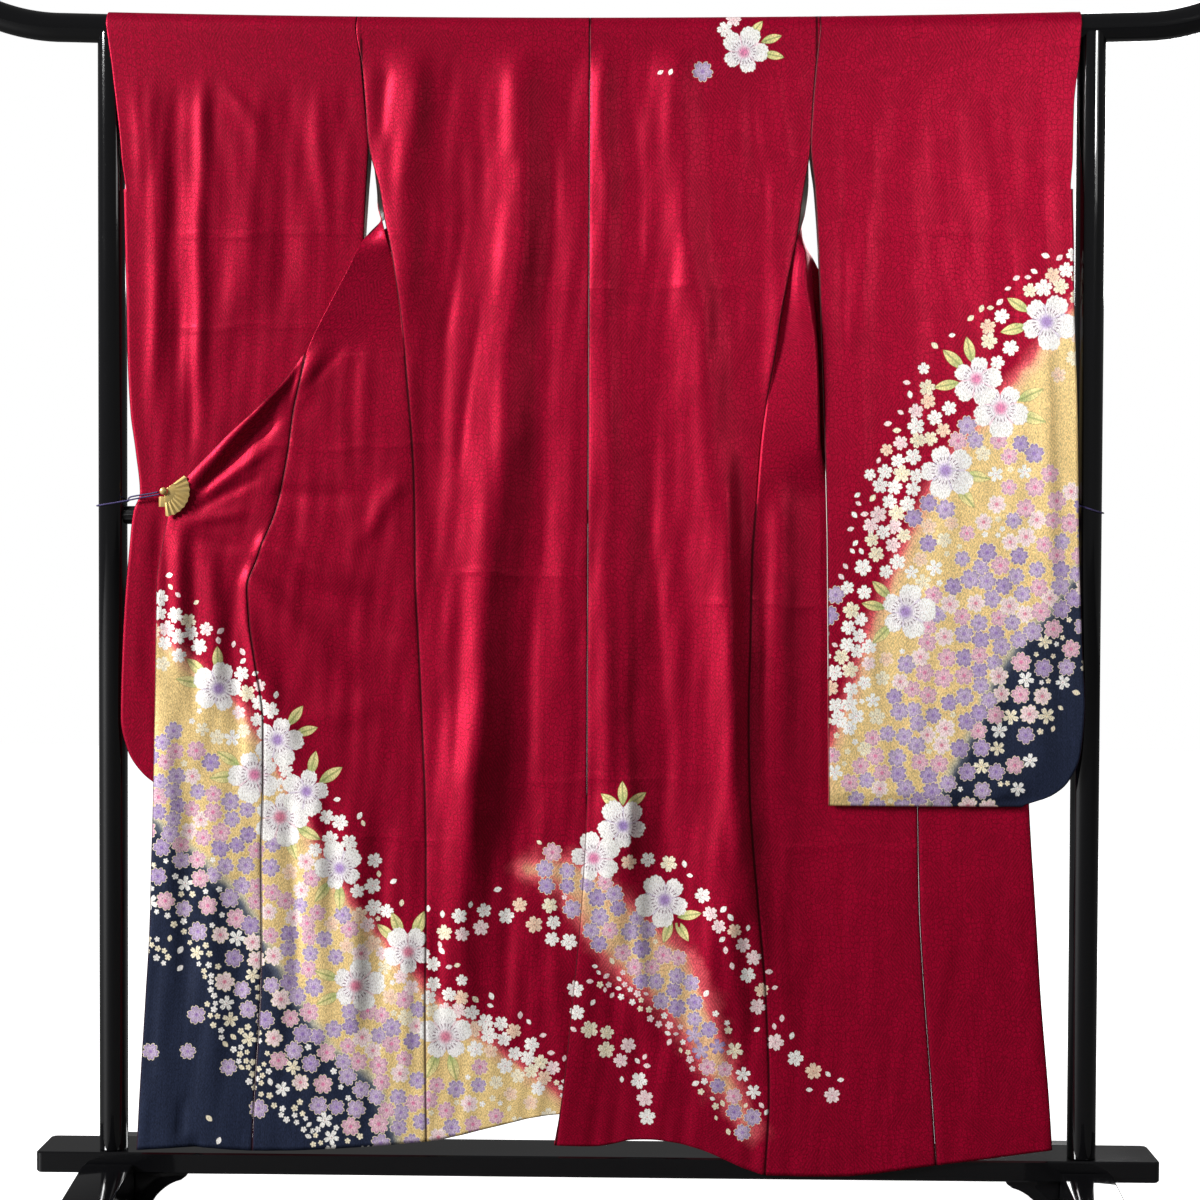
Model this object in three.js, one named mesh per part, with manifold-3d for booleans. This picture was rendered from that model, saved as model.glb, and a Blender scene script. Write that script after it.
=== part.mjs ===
// Furisode kimono displayed on a lacquered kimono stand, its back towards -Y.
// Units are millimetres, +Z is up, +X is to the viewer's right, and the floor is Z = 0. Sizes are
// written from the plane of the bar and posts (Y = 0); the last lines put the stand's middle there.
// The body lengths go over the top bar in one strip each, as they are cut: the back hangs on the -Y
// side, the front hangs on the +Y side, turns through the opening beside the sleeve and is drawn out
// sideways, where a clip and a cord hold its front edge to the post.
import * as THREE from 'three';
import Module from 'manifold-3d';
import { mergeVertices } from 'three/addons/utils/BufferGeometryUtils.js';

// ---------------------------------------------------------------- driving dimensions
const TUBE_R = 19.5;            // radius of the top bar and of the posts
const POST_X = 670;             // posts stand this far to each side
const BAR_Z = 1639.5;           // centre of the top bar at mid-span
const BAR_BOW = 8;              // how much higher the bar runs at the posts
const BAR_BEND_X = 735;         // the ends start to sweep up here
const BAR_BEND_R = 270;
const BAR_BEND_ANGLE = THREE.MathUtils.degToRad(30);
const BAR_TIP = 26;             // straight length after the sweep

const PLANK_TOP = 100;
const PLANK_THICK = 29;
const PLANK_FRONT = -24;
const PLANK_BACK = 62;
const PLANK_HALF = 774;

const FOOT_WIDTH = 68;
const FOOT_REACH = 225;         // from the plank's middle to each toe
const FOOT_SHOULDER = 84;       // height of the foot against the plank
const FOOT_TOE = 64;
const GUSSET_REACH = 72;
const GUSSET_DROP = 58;
const GUSSET_THICK = 30;

const RAIL_Z = 980;
const RAIL_R = 9.5;
const RAIL_CAP_R = 12.5;
const RAIL_CAP_LENGTH = 38;

const CLOTH = 1.5;              // outer cloth and lining together
const COLLAR_CLOTH = 2.4;       // the collar is folded double
const GAP = 0.3;                // between neighbouring pieces
const DRAPE_R = TUBE_R + 1.1 + CLOTH / 2;    // middle of the cloth where it lies over the bar
const WRIST_Z = 1425;           // the wrist opening runs from the bar down to here
const ARMHOLE_Z = 1484;         // the sleeve is sewn to the body from the bar down to here

const FAN_R = 36;
const FAN_PLEATS = 9;
const CORD_R = 1.1;

// ---------------------------------------------------------------- colours
const finish = (color, roughness, metalness = 0) =>
  new THREE.MeshStandardMaterial({ color, roughness, metalness });
const CRIMSON = finish(0xa8102f, 0.55);
const LACQUER = finish(0x0b0b0c, 0.12);
const RESIN = finish(0x141414, 0.45);
const GOLD = finish(0xc9a44a, 0.3, 1);
const PURPLE = finish(0x3c1f7a, 0.7);

// ---------------------------------------------------------------- tables and small helpers
const table = (columns, rows) =>
  rows.map((row) => Object.fromEntries(columns.map((name, i) => [name, row[i]])));
const mix = (a, b, t) => a + (b - a) * t;
const smooth = (t) => {
  const c = THREE.MathUtils.clamp(t, 0, 1);
  return c * c * (3 - 2 * c);
};

// Reads column `name` of a table whose rows go up in z, at height z.
function at(rows, name, z) {
  if (z <= rows[0].z) return rows[0][name];
  for (let i = 1; i < rows.length; i++) {
    if (z <= rows[i].z) {
      return mix(rows[i - 1][name], rows[i][name], (z - rows[i - 1].z) / (rows[i].z - rows[i - 1].z));
    }
  }
  return rows[rows.length - 1][name];
}

const barHeight = (x) => BAR_Z + BAR_BOW * (x / POST_X) ** 2;
const point = (x, y, z) => new THREE.Vector3(x, y, z);

// ---------------------------------------------------------------- closed solids from surfaces
// A surface is a list of points and a list of faces (3 or 4 corners, seen anticlockwise from outside).
class Surface {
  constructor() {
    this.points = [];
    this.faces = [];
  }

  add(p) {
    this.points.push(p);
    return this.points.length - 1;
  }

  grid(rows) {
    return rows.map((row) => row.map((p) => (p ? this.add(p) : -1)));
  }

  // Joins two neighbouring rows of corner numbers; -1 marks a place with no cloth.
  strip(low, high) {
    for (let j = 0; j + 1 < low.length; j++) {
      const quad = [low[j], low[j + 1], high[j + 1], high[j]];
      if (quad.every((k) => k >= 0)) this.faces.push(quad);
    }
  }
}

// Gives a surface its thickness: each point moves half of it out and half of it in along its normal,
// and the open edges are closed by a rim.
function wall(surface, thickness) {
  const triangles = surface.faces.flatMap(([a, b, c, d]) =>
    (d === undefined ? [[a, b, c]] : [[a, b, c], [a, c, d]]));
  const normals = surface.points.map(() => point(0, 0, 0));
  for (const [a, b, c] of triangles) {
    const u = surface.points[b].clone().sub(surface.points[a]);
    const v = surface.points[c].clone().sub(surface.points[a]);
    const n = u.cross(v);
    for (const k of [a, b, c]) normals[k].add(n);
  }
  const count = surface.points.length;
  const positions = [];
  for (const side of [0.5, -0.5]) {
    surface.points.forEach((p, k) => {
      const q = p.clone().addScaledVector(normals[k].clone().normalize(), side * thickness);
      positions.push(q.x, q.y, q.z);
    });
  }
  const index = [];
  const edges = new Map();
  for (const [a, b, c] of triangles) {
    index.push(a, b, c);
    index.push(a + count, c + count, b + count);
    for (const [from, to] of [[a, b], [b, c], [c, a]]) {
      const twin = `${to},${from}`;
      if (edges.has(twin)) edges.delete(twin);
      else edges.set(`${from},${to}`, [from, to]);
    }
  }
  for (const [from, to] of edges.values()) {
    index.push(from, from + count, to);
    index.push(to, from + count, to + count);
  }
  const geometry = new THREE.BufferGeometry();
  geometry.setAttribute('position', new THREE.Float32BufferAttribute(positions, 3));
  geometry.setIndex(index);
  return geometry;
}

const kimono = new THREE.Group();
function place(name, geometry, material) {
  const mesh = new THREE.Mesh(geometry, material);
  mesh.name = name;
  kimono.add(mesh);
  return mesh;
}

// ---------------------------------------------------------------- the body's back
// Depth of the hanging cloth behind its folds.
const HANG = table(['z', 'y'], [
  [80, -30], [400, -29], [1000, -28], [1300, -26], [1484, -22], [1540, -21.8], [1598, -21.3],
  [1641, -DRAPE_R],
]);

// Largest folds: a soft ridge (depth < 0, towards the viewer) or trough along a line.
const BODY_FOLDS = table(['x0', 'z0', 'x1', 'z1', 'width', 'depth'], [
  [-128, 1500, -231, 1037, 20, -6],
  [-87, 1540, -168, 930, 20, -5],
  [-45, 1540, -136, 592, 26, 4],
  [6, 1600, 10, 860, 16, -5],
  [85, 1590, 124, 1059, 18, -6],
  [124, 1059, 192, 500, 20, -7],
  [100, 1524, 159, 1166, 20, 4],
  [-360, 1270, -410, 1120, 18, -4],
  [-190, 420, -150, 190, 26, -5],
  [60, 420, 102, 160, 24, -5],
  [-478, 880, -390, 820, 22, -4],
  [-390, 820, -280, 960, 22, -4],
  [-340, 640, -330, 200, 24, -4],
]);

function foldDepth(folds, x, z) {
  let depth = 0;
  for (const f of folds) {
    const run = Math.hypot(f.x1 - f.x0, f.z1 - f.z0);
    const along = ((x - f.x0) * (f.x1 - f.x0) + (z - f.z0) * (f.z1 - f.z0)) / run;
    const across = ((x - f.x0) * (f.z1 - f.z0) - (z - f.z0) * (f.x1 - f.x0)) / run;
    const fade = smooth(along / (0.2 * run)) * smooth((run - along) / (0.2 * run));
    depth += f.depth * fade * Math.exp(-((across / f.width) ** 2));
  }
  return depth;
}

const bodyDepth = (x, z) => {
  const y = at(HANG, 'y', z) + foldDepth(BODY_FOLDS, x, z);
  return z < 260 ? Math.min(y, -27) : y;
};

// Centre back seam: below z = 540 the right half lies over the left one and its edge drifts left.
const CENTRE = table(['z', 'left', 'right', 'lap'], [
  [100, -20, -56, -5], [235, -17, -40, -5], [318, -15, -32, -4], [400, -14, -24, -3.5],
  [521, -15, -16, -2.5], [540, -16.5, -15, -2.4], [600, -13, -13, 0], [1700, -13, -13, 0],
]);

// One row for each section of the left half: side edge of the back, then the okumi seam of the front.
const LEFT_ROWS = table(['z', 'side', 'seam'], [
  [120, -232, -472], [199, -233, -468], [309, -234, -461], [415, -233, -459], [521, -233, -460],
  [540, -233.4, -459.4], [600, -234.7, -457.4], [698, -239, -457], [782, -243, -468], [837, -246, -476], [878, -248, -478],
  [924, -249, -464], [991, -250, -439], [1069, -253, -423], [1122, -257, -416],
  [1163, -260.5, -406.5], [1203, -264, -397], [1260, -270], [1310, -277], [1335, -281], [1387, -292], [1427, -299],
  [1484, -314], [1540, -318.7], [1598, -324],
]);
const LEFT_BAR_SIDE = -331;

const RIGHT_ROWS = table(['z', 'side', 'seam'], [
  [80, 233, 467], [182, 238, 461], [321, 233, 450], [452, 221, 442], [540, 213, 440],
  [600, 209, 439],
  [720, 207, 440], [813, 209, 443], [922, 211, 447], [1003, 217, 450], [1084, 223], [1137, 230],
  [1210, 242], [1253, 248], [1300, 257], [1337, 265], [1356, 269], [1415, 277],
  [1484, 287.5], [1540, 290], [1598, 294.6],
]);
const RIGHT_BAR_SIDE = 299;

// Hem heights along the garment, left to right, for the lowest row of every panel.
const HEM = table(['z', 'height'], [
  [-632, 105], [-553, 110], [-472, 106], [-232, 121], [-131, 144], [-76, 157], [-13, 164],
]);
const HEM_RIGHT = table(['z', 'height'], [
  [-56, 119], [0, 117], [62, 127], [102, 124], [152, 111], [198, 91], [233, 79], [320, 78],
  [467, 95], [625, 117],
]);

// The part of the front between the lowest row that lies flat and the bar: e is the front edge, f and
// g are places where the cloth turns, s is the side edge (null: the side seam). On the left the
// rows are level, and the cloth twists half round as they go up through the armhole.
const LEFT_TURN = table(['ex', 'ey', 'ez', 'sx', 'sy', 'sz'], [
  [-368, -35, 1262, null, null, 1260],
  [-342, -35, 1311, null, null, 1310],
  [-330, -34, 1336, null, null, 1335],
  [-323, -27, 1351, -287, -30, 1350],
  [-314, -13, 1366, -291, -32, 1366],
  [-300, 4, 1384, -296, -29, 1384],
  [-281, 14, 1403, -302, -17, 1403],
  [-260, 18.5, 1425, -305.5, 2, 1425],
  [-235, 20, 1484, -314, 17, 1484],
  [-190, DRAPE_R, 1535, -318.7, 19.4, 1540],
  [-140, DRAPE_R, 1595, -324, DRAPE_R, 1598],
]);
const RIGHT_TURN = table(['ex', 'ey', 'ez', 'gx', 'gy', 'gz', 'fx', 'fy', 'fz', 'sx', 'sy', 'sz'], [
  [452, -15.4, 1084, 306, -15.4, 1084, 298, -33, 1084, null, null, 1084],
  [453, -14.6, 1145, 304, -14.6, 1138, 297, -36, 1137, null, null, 1137],
  [449, -13, 1202, 301, -13, 1208, 294, -36, 1210, null, null, 1210],
  [372, -11.6, 1240, 298, -12, 1252, 288, -35, 1253, null, null, 1253],
  [306, -8, 1308, 291, -10, 1304, 281, -33, 1300, null, null, 1300],
  [290, -4, 1337, 286, -14, 1337, 279, -28, 1337, null, null, 1337],
  [279, 4, 1356, 280, -6, 1356, 277, -18, 1356, null, null, 1356],
  [266, 11, 1375, 272, 3, 1375, 276, -8, 1375, 275, -20, 1375],
  [254, 14, 1395, 265, 9, 1395, 274, 0, 1395, 281, -8, 1395],
  [222, 18, 1438, 247, 17, 1438, 266, 14, 1439, 287, 8, 1440],
  [190, DRAPE_R, 1480, 234, 20, 1482, 262, 19, 1483, 287.5, 17, 1484],
  [148, DRAPE_R, 1535, 210, DRAPE_R, 1537, 228, DRAPE_R, 1538, 290, 19.6, 1540],
  [106, DRAPE_R, 1596, 188, DRAPE_R, 1597, 210, DRAPE_R, 1597, 294.6, DRAPE_R, 1598],
]);

const SIDE_TOP_LEFT = 1335;     // the side seams run from the hem up to here
const SIDE_TOP_RIGHT = 1356;
const BODY_COLUMNS = 11;        // strips from the centre seam to the side edge
const NECK_COLUMNS = 3;         // of these, the strips that end at the neck
const FRONT_COLUMNS = BODY_COLUMNS - NECK_COLUMNS;
const NECK_LEFT = -101;
const NECK_RIGHT = 75;
const SEAM = 0.2;               // each panel stops this short of a seam
const BAR_STEPS = 6;            // facets of the cloth over the bar

// The right front passes behind the sleeve at this depth, and comes forward to clear the plank.
const BEHIND_SLEEVE = table(['z', 'y'], [
  [80, -30], [182, -28.5], [321, -25], [452, -22], [560, -18.6], [720, -16.6], [1003, -15.5],
  [1700, -15.5],
]);
function rightFrontDepth(x, z) {
  const side = at(RIGHT_ROWS, 'side', z);
  return mix(bodyDepth(x, z), at(BEHIND_SLEEVE, 'y', z), smooth((x - side - 12) / (286 - side)));
}

// Rows of cloth laid over the bar from the back (-Y) to the front (+Y), without the first row.
function overBar(xs, steps) {
  const rows = [];
  for (let k = 0; k <= steps; k++) {
    const angle = Math.PI * (1 - k / steps);
    rows.push(xs.map((x) => point(x, DRAPE_R * Math.cos(angle), barHeight(x) + DRAPE_R * Math.sin(angle))));
  }
  return rows;
}

// Points of one section of the front, from its front edge to its side edge.
function frontSection(controls) {
  const row = [];
  for (let j = 0; j <= FRONT_COLUMNS; j++) {
    const t = j / FRONT_COLUMNS;
    const k = controls.findIndex((c, i) => i > 0 && t <= c.t);
    const a = controls[k - 1];
    const b = controls[k];
    row.push(a.p.clone().lerp(b.p, (t - a.t) / (b.t - a.t)));
  }
  return row;
}

// sign is -1 for the wearer's left half and +1 for the right one.
function bodyHalf(sign) {
  const left = sign < 0;
  const rows = left ? LEFT_ROWS : RIGHT_ROWS;
  const turn = left ? LEFT_TURN : RIGHT_TURN;
  const hem = left ? HEM : HEM_RIGHT;
  const neck = left ? NECK_LEFT : NECK_RIGHT;
  const barSide = (left ? LEFT_BAR_SIDE : RIGHT_BAR_SIDE) - sign * SEAM;
  const inner = left ? 'left' : 'right';
  const sideTop = left ? SIDE_TOP_LEFT : SIDE_TOP_RIGHT;
  const surface = new Surface();

  const sidePoint = (row) => {
    const z = row === rows[0] ? at(hem, 'height', row.side) : row.z;
    return point(row.side, bodyDepth(row.side, z), z);
  };

  // the back, hem to bar
  const back = rows.map((row) => {
    const centre = at(CENTRE, inner, row.z) + sign * SEAM;
    const line = [];
    for (let j = 0; j <= BODY_COLUMNS; j++) {
      const x = mix(centre, row.side - (row.z > sideTop ? sign * SEAM : 0), j / BODY_COLUMNS);
      const z = row === rows[0] ? at(hem, 'height', x) : row.z;
      const lap = left ? 0 : at(CENTRE, 'lap', z) * smooth(1 - j / 3);
      line.push(point(x, bodyDepth(x, z) + lap, z));
    }
    return line;
  });

  // over the bar; the neck strips end at the bar's far side
  const centreX = at(CENTRE, inner, BAR_Z) + sign * SEAM;
  const topXs = [];
  for (let j = 0; j <= BODY_COLUMNS; j++) {
    topXs.push(j < NECK_COLUMNS
      ? mix(centreX, neck, j / NECK_COLUMNS)
      : mix(neck, barSide, (j - NECK_COLUMNS) / FRONT_COLUMNS));
  }
  const top = overBar(topXs, BAR_STEPS);

  // the front, bar to hem
  const turned = [...turn].reverse().map((r) => {
    const seamRow = rows.find((row) => row.z === r.sz);
    const s = r.sx === null ? sidePoint(seamRow) : point(r.sx - sign * SEAM, r.sy, r.sz);
    const controls = [{ t: 0, p: point(r.ex, r.ey, r.ez) }];
    if (r.gx !== undefined) controls.push({ t: 0.5, p: point(r.gx, r.gy, r.gz) });
    if (r.fx !== undefined) controls.push({ t: 0.625, p: point(r.fx, r.fy, r.fz) });
    controls.push({ t: 1, p: s });
    return frontSection(controls);
  });
  const low = rows.filter((row) => row.seam !== undefined).reverse().map((row) => {
    const line = [];
    const s = sidePoint(row);
    for (let j = 0; j <= FRONT_COLUMNS; j++) {
      const x = mix(row.seam - sign * SEAM, s.x, j / FRONT_COLUMNS);
      const z = row === rows[0] ? at(hem, 'height', x) : row.z;
      line.push(point(x, left ? bodyDepth(x, z) : rightFrontDepth(x, z), z));
    }
    return line;
  });

  const blank = Array(NECK_COLUMNS).fill(null);
  const backNumbers = surface.grid(back);
  const topNumbers = surface.grid(top);
  const frontNumbers = surface.grid([...turned, ...low].map((line) => [...blank, ...line]));
  // the side seam: front and back share the edge from the hem to its top
  const sewn = rows.filter((row) => row.z <= sideTop).length;
  for (let i = 0; i < sewn; i++) {
    frontNumbers[frontNumbers.length - 1 - i][BODY_COLUMNS] = backNumbers[i][BODY_COLUMNS];
  }
  const all = [...backNumbers, ...topNumbers, ...frontNumbers];
  for (let i = 0; i + 1 < all.length; i++) surface.strip(all[i], all[i + 1]);
  if (left) surface.faces.forEach((face) => face.reverse());
  place(left ? 'body_left' : 'body_right', wall(surface, CLOTH), CRIMSON);
}

// ---------------------------------------------------------------- okumi, the front's outer strips
// seam is the side sewn to the front, edge the free side (along the collar above the clip).
const OKUMI_LEFT = table(['z', 'edge', 'edgeZ', 'depth'], [
  [120, -632, 105, -30], [199, -627, 199, -30], [309, -620, 309, -30], [415, -614, 415, -29],
  [521, -611, 521, -29], [540, -610.4, 540, -29], [600, -608.4, 600, -29], [698, -606.5, 698, -29], [782, -605, 782, -29],
  [837, -604, 837, -29], [878, -603.5, 886, -29], [924, -597, 934, -28.5], [991, -581, 1001, -28],
  [1069, -519, 1075, -28], [1122, -462, 1128, -28], [1163, -429, 1163, -28.5],
]);
const OKUMI_RIGHT = table(['z', 'edge', 'edgeZ', 'depth'], [
  [80, 625, 117, -29], [182, 620, 190, -28], [321, 609, 318, -25], [452, 600, 455, -22],
  [540, 594, 542, -19.2], [600, 591, 600, -18], [720, 592, 710, -16.6], [813, 598, 805, -16], [922, 612, 915, -15.5],
  [1003, 620, 996, -15.5],
]);
const OKUMI_RIGHT_TOP = table(['ex', 'ey', 'ez', 'x', 'z'], [
  [452, -15.4, 1084, 553, 1077], [453, -14.6, 1145, 506, 1130],
]);
const OKUMI_FOLDS = table(['x0', 'z0', 'x1', 'z1', 'width', 'depth'], [
  [-395, 1205, -588, 985, 15, -6],
  [-420, 1130, -570, 985, 14, 3],
  [-566, 990, -575, 740, 14, -5],
  [-530, 960, -520, 700, 16, -4],
  [-552, 130, -545, 60, 10, 4],
]);
const OKUMI_COLUMNS = 6;

function okumiLeft() {
  const surface = new Surface();
  const rows = OKUMI_LEFT.map((row, i) => {
    const body = LEFT_ROWS[i];
    const line = [];
    for (let j = 0; j <= OKUMI_COLUMNS; j++) {
      const t = j / OKUMI_COLUMNS;
      const x = mix(row.edge, body.seam - SEAM, t);
      const z = i === 0 ? at(HEM, 'height', x) : mix(row.edgeZ, row.z, t);
      const y = mix(row.depth, bodyDepth(body.seam, z), smooth(t)) + foldDepth(OKUMI_FOLDS, x, z);
      line.push(point(x, Math.min(y, -26.4), z));
    }
    return line;
  });
  const numbers = surface.grid(rows);
  for (let i = 0; i + 1 < numbers.length; i++) surface.strip(numbers[i], numbers[i + 1]);
  // the strip is cut to a point where its seam meets the collar
  const seam = LEFT_ROWS[OKUMI_LEFT.length];
  const tip = surface.add(point(seam.seam - 2, bodyDepth(seam.seam, seam.z), seam.z - 2));
  const last = numbers[numbers.length - 1];
  for (let j = 0; j < OKUMI_COLUMNS; j++) surface.faces.push([last[j], last[j + 1], tip]);
  place('okumi_left', wall(surface, CLOTH), CRIMSON);
}

function okumiRight() {
  const surface = new Surface();
  const rows = OKUMI_RIGHT.map((row, i) => {
    const body = RIGHT_ROWS[i];
    const line = [];
    for (let j = 0; j <= OKUMI_COLUMNS; j++) {
      const t = j / OKUMI_COLUMNS;
      const x = mix(body.seam + SEAM, row.edge, t);
      const z = i === 0 ? at(HEM_RIGHT, 'height', x) : mix(row.z, row.edgeZ, t);
      line.push(point(x, mix(rightFrontDepth(body.seam, z), row.depth, t), z));
    }
    return line;
  });
  for (const r of OKUMI_RIGHT_TOP) {
    const line = [];
    for (let j = 0; j <= OKUMI_COLUMNS; j++) {
      const t = j / OKUMI_COLUMNS;
      line.push(point(mix(r.ex + 2 * SEAM, r.x, t), r.ey, mix(r.ez, r.z, t)));
    }
    rows.push(line);
  }
  const numbers = surface.grid(rows);
  for (let i = 0; i + 1 < numbers.length; i++) surface.strip(numbers[i], numbers[i + 1]);
  place('okumi_right', wall(surface, CLOTH), CRIMSON);
}

// ---------------------------------------------------------------- sleeves
const SLEEVE_LEFT = table(['z', 'outer', 'inner', 'back', 'front'], [
  [600, -585, -327, -20, -13.5], [612, -609, -327, -20, -13.6], [626, -626, -327, -20, -13.6],
  [655, -645, -327, -20, -13.7], [700, -655, -326, -20, -13.8], [782, -653, -326, -20, -14],
  [860, -649, -325, -20.2, -14.2], [930, -643, -325, -20.4, -14.4], [985, -637, -324, -20.6, -14.5],
  [1010, -628, -324, -20.6, -14.3], [1069, -634, -323, -20.6, -12.4], [1122, -641, -323, -20.6, -10.5],
  [1203, -645, -322, -20.6, -6.5], [1270, -646, -321.5, -20.6, -3], [1348, -648, -320.5, -20.6, 2.5],
  [WRIST_Z, -650, -317, -21.2, 10], [ARMHOLE_Z, -653, -314, -22, 17], [1540, -659, -318.7, -21.8, 19.4],
  [1598, -666, -324, -21.3, DRAPE_R],
]);
const SLEEVE_RIGHT = table(['z', 'outer', 'inner', 'back', 'front'], [
  [590, 584, 317, -31, -21.6], [602, 619, 317, -31, -21.6], [621, 642, 316.5, -31, -21.6],
  [660, 659, 316, -31, -21.5], [725, 664, 315, -31, -21.4], [799, 660, 314.5, -31, -21.3],
  [870, 657, 313.5, -30.7, -21.2], [947, 654, 312.5, -30.3, -21], [1003, 653, 311, -30, -20.7],
  [1084, 651.5, 308.5, -29.5, -20.2], [1140, 650, 306.5, -29, -19.2], [1210, 647, 303.8, -28, -17.2],
  [1290, 644, 300.5, -26.7, -13.8], [1350, 643, 298, -25.5, -7.5], [WRIST_Z, 641, 293.5, -23.5, 6],
  [ARMHOLE_Z, 641.5, 287.5, -22, 17], [1540, 642.5, 290, -21.8, 19.6], [1598, 649, 294.6, -21.3, DRAPE_R],
]);
// Outer corner of the front wall, which passes round the post; rows run down from the bar.
const WRIST_LEFT = table(['z', 'x', 'y'], [
  [WRIST_Z, -650, -15.8], [ARMHOLE_Z, -645.5, -3], [1540, -645, 12], [1598, -660, DRAPE_R],
]);
const WRIST_RIGHT = table(['z', 'x', 'y'], [
  [WRIST_Z, 641, -22.8], [ARMHOLE_Z, 640.5, -6], [1540, 642.5, 10], [1598, 650, DRAPE_R],
]);
const SLEEVE_FOLDS_LEFT = table(['x0', 'z0', 'x1', 'z1', 'width', 'depth'], [
  [-539, 1700, -545, 1040, 15, -3],
  [-575, 1650, -578, 1060, 16, 2],
  [-610, 1650, -605, 1050, 14, -2],
]);
const SLEEVE_FOLDS_RIGHT = table(['x0', 'z0', 'x1', 'z1', 'width', 'depth'], [
  [600, 1580, 618, 700, 18, -3],
  [440, 1650, 420, 900, 26, -2],
]);
const SLEEVE_COLUMNS = 9;
const EDGE_IN = 3;              // the sewn edge is a narrow rounded fold
const EDGE_HALF = 2.2;

function sleeve(sign) {
  const left = sign < 0;
  const rows = left ? SLEEVE_LEFT : SLEEVE_RIGHT;
  const wrist = left ? WRIST_LEFT : WRIST_RIGHT;
  const folds = left ? SLEEVE_FOLDS_LEFT : SLEEVE_FOLDS_RIGHT;
  const edgeY = left ? -18 : -25;
  const barInner = (left ? LEFT_BAR_SIDE : RIGHT_BAR_SIDE) + sign * SEAM;
  const barOuter = left ? -673 : 652;
  const surface = new Surface();
  const sewn = (row) => row.z <= WRIST_Z;

  const xAt = (from, to, j) => mix(from, to, j / SLEEVE_COLUMNS);
  const backRows = rows.map((row) => {
    const outer = row.outer - (sewn(row) ? sign * EDGE_IN : 0);
    const line = [];
    for (let j = 0; j <= SLEEVE_COLUMNS; j++) {
      const x = xAt(row.inner + sign * SEAM, outer, j);
      const free = smooth(Math.abs(x - row.inner) / 40) * smooth(Math.abs(x - outer) / 40);
      const flat = row.back + foldDepth(folds, x, row.z) * free;
      const edge = sewn(row) ? edgeY - EDGE_HALF : row.back;
      line.push(point(x, mix(edge, flat, smooth(Math.abs(x - outer) / 70)), row.z));
    }
    return line;
  });
  const frontRows = rows.map((row) => {
    const corner = sewn(row)
      ? { x: row.outer - sign * EDGE_IN, y: edgeY + EDGE_HALF }
      : { x: at(wrist, 'x', row.z), y: at(wrist, 'y', row.z) };
    const line = [];
    for (let j = 0; j <= SLEEVE_COLUMNS; j++) {
      const x = xAt(row.inner + sign * SEAM, corner.x, j);
      line.push(point(x, mix(corner.y, row.front, smooth(Math.abs(x - corner.x) / 150)), row.z));
    }
    return line;
  });
  const barXs = [];
  for (let j = 0; j <= SLEEVE_COLUMNS; j++) barXs.push(xAt(barInner, barOuter, j));

  // the bottom row is drawn together, so that the pouch closes along a rounded seam
  for (const p of backRows[0]) p.y = edgeY - EDGE_HALF;
  for (const p of frontRows[0]) p.y = edgeY + EDGE_HALF;

  const back = surface.grid(backRows);
  const top = surface.grid(overBar(barXs, BAR_STEPS));
  const front = surface.grid(frontRows);
  const all = [...back, ...top, ...[...front].reverse()];
  for (let i = 0; i + 1 < all.length; i++) surface.strip(all[i], all[i + 1]);

  // outer edge below the wrist, and bottom
  const crease = rows.filter(sewn).map((row) => surface.add(point(row.outer, edgeY, row.z)));
  for (let i = 0; i + 1 < crease.length; i++) {
    const last = SLEEVE_COLUMNS;
    surface.faces.push([back[i][last], crease[i], crease[i + 1], back[i + 1][last]]);
    surface.faces.push([front[i + 1][last], crease[i + 1], crease[i], front[i][last]]);
  }
  const bottom = backRows[0].map((p) => surface.add(point(p.x, edgeY, p.z - EDGE_IN)));
  for (let j = 0; j < SLEEVE_COLUMNS; j++) {
    surface.faces.push([bottom[j], bottom[j + 1], back[0][j + 1], back[0][j]]);
    surface.faces.push([front[0][j], front[0][j + 1], bottom[j + 1], bottom[j]]);
  }
  surface.faces.push([bottom[SLEEVE_COLUMNS], crease[0], back[0][SLEEVE_COLUMNS]]);
  surface.faces.push([crease[0], bottom[SLEEVE_COLUMNS], front[0][SLEEVE_COLUMNS]]);
  if (left) surface.faces.forEach((face) => face.reverse());
  place(left ? 'sleeve_left' : 'sleeve_right', wall(surface, CLOTH), CRIMSON);
}

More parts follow.
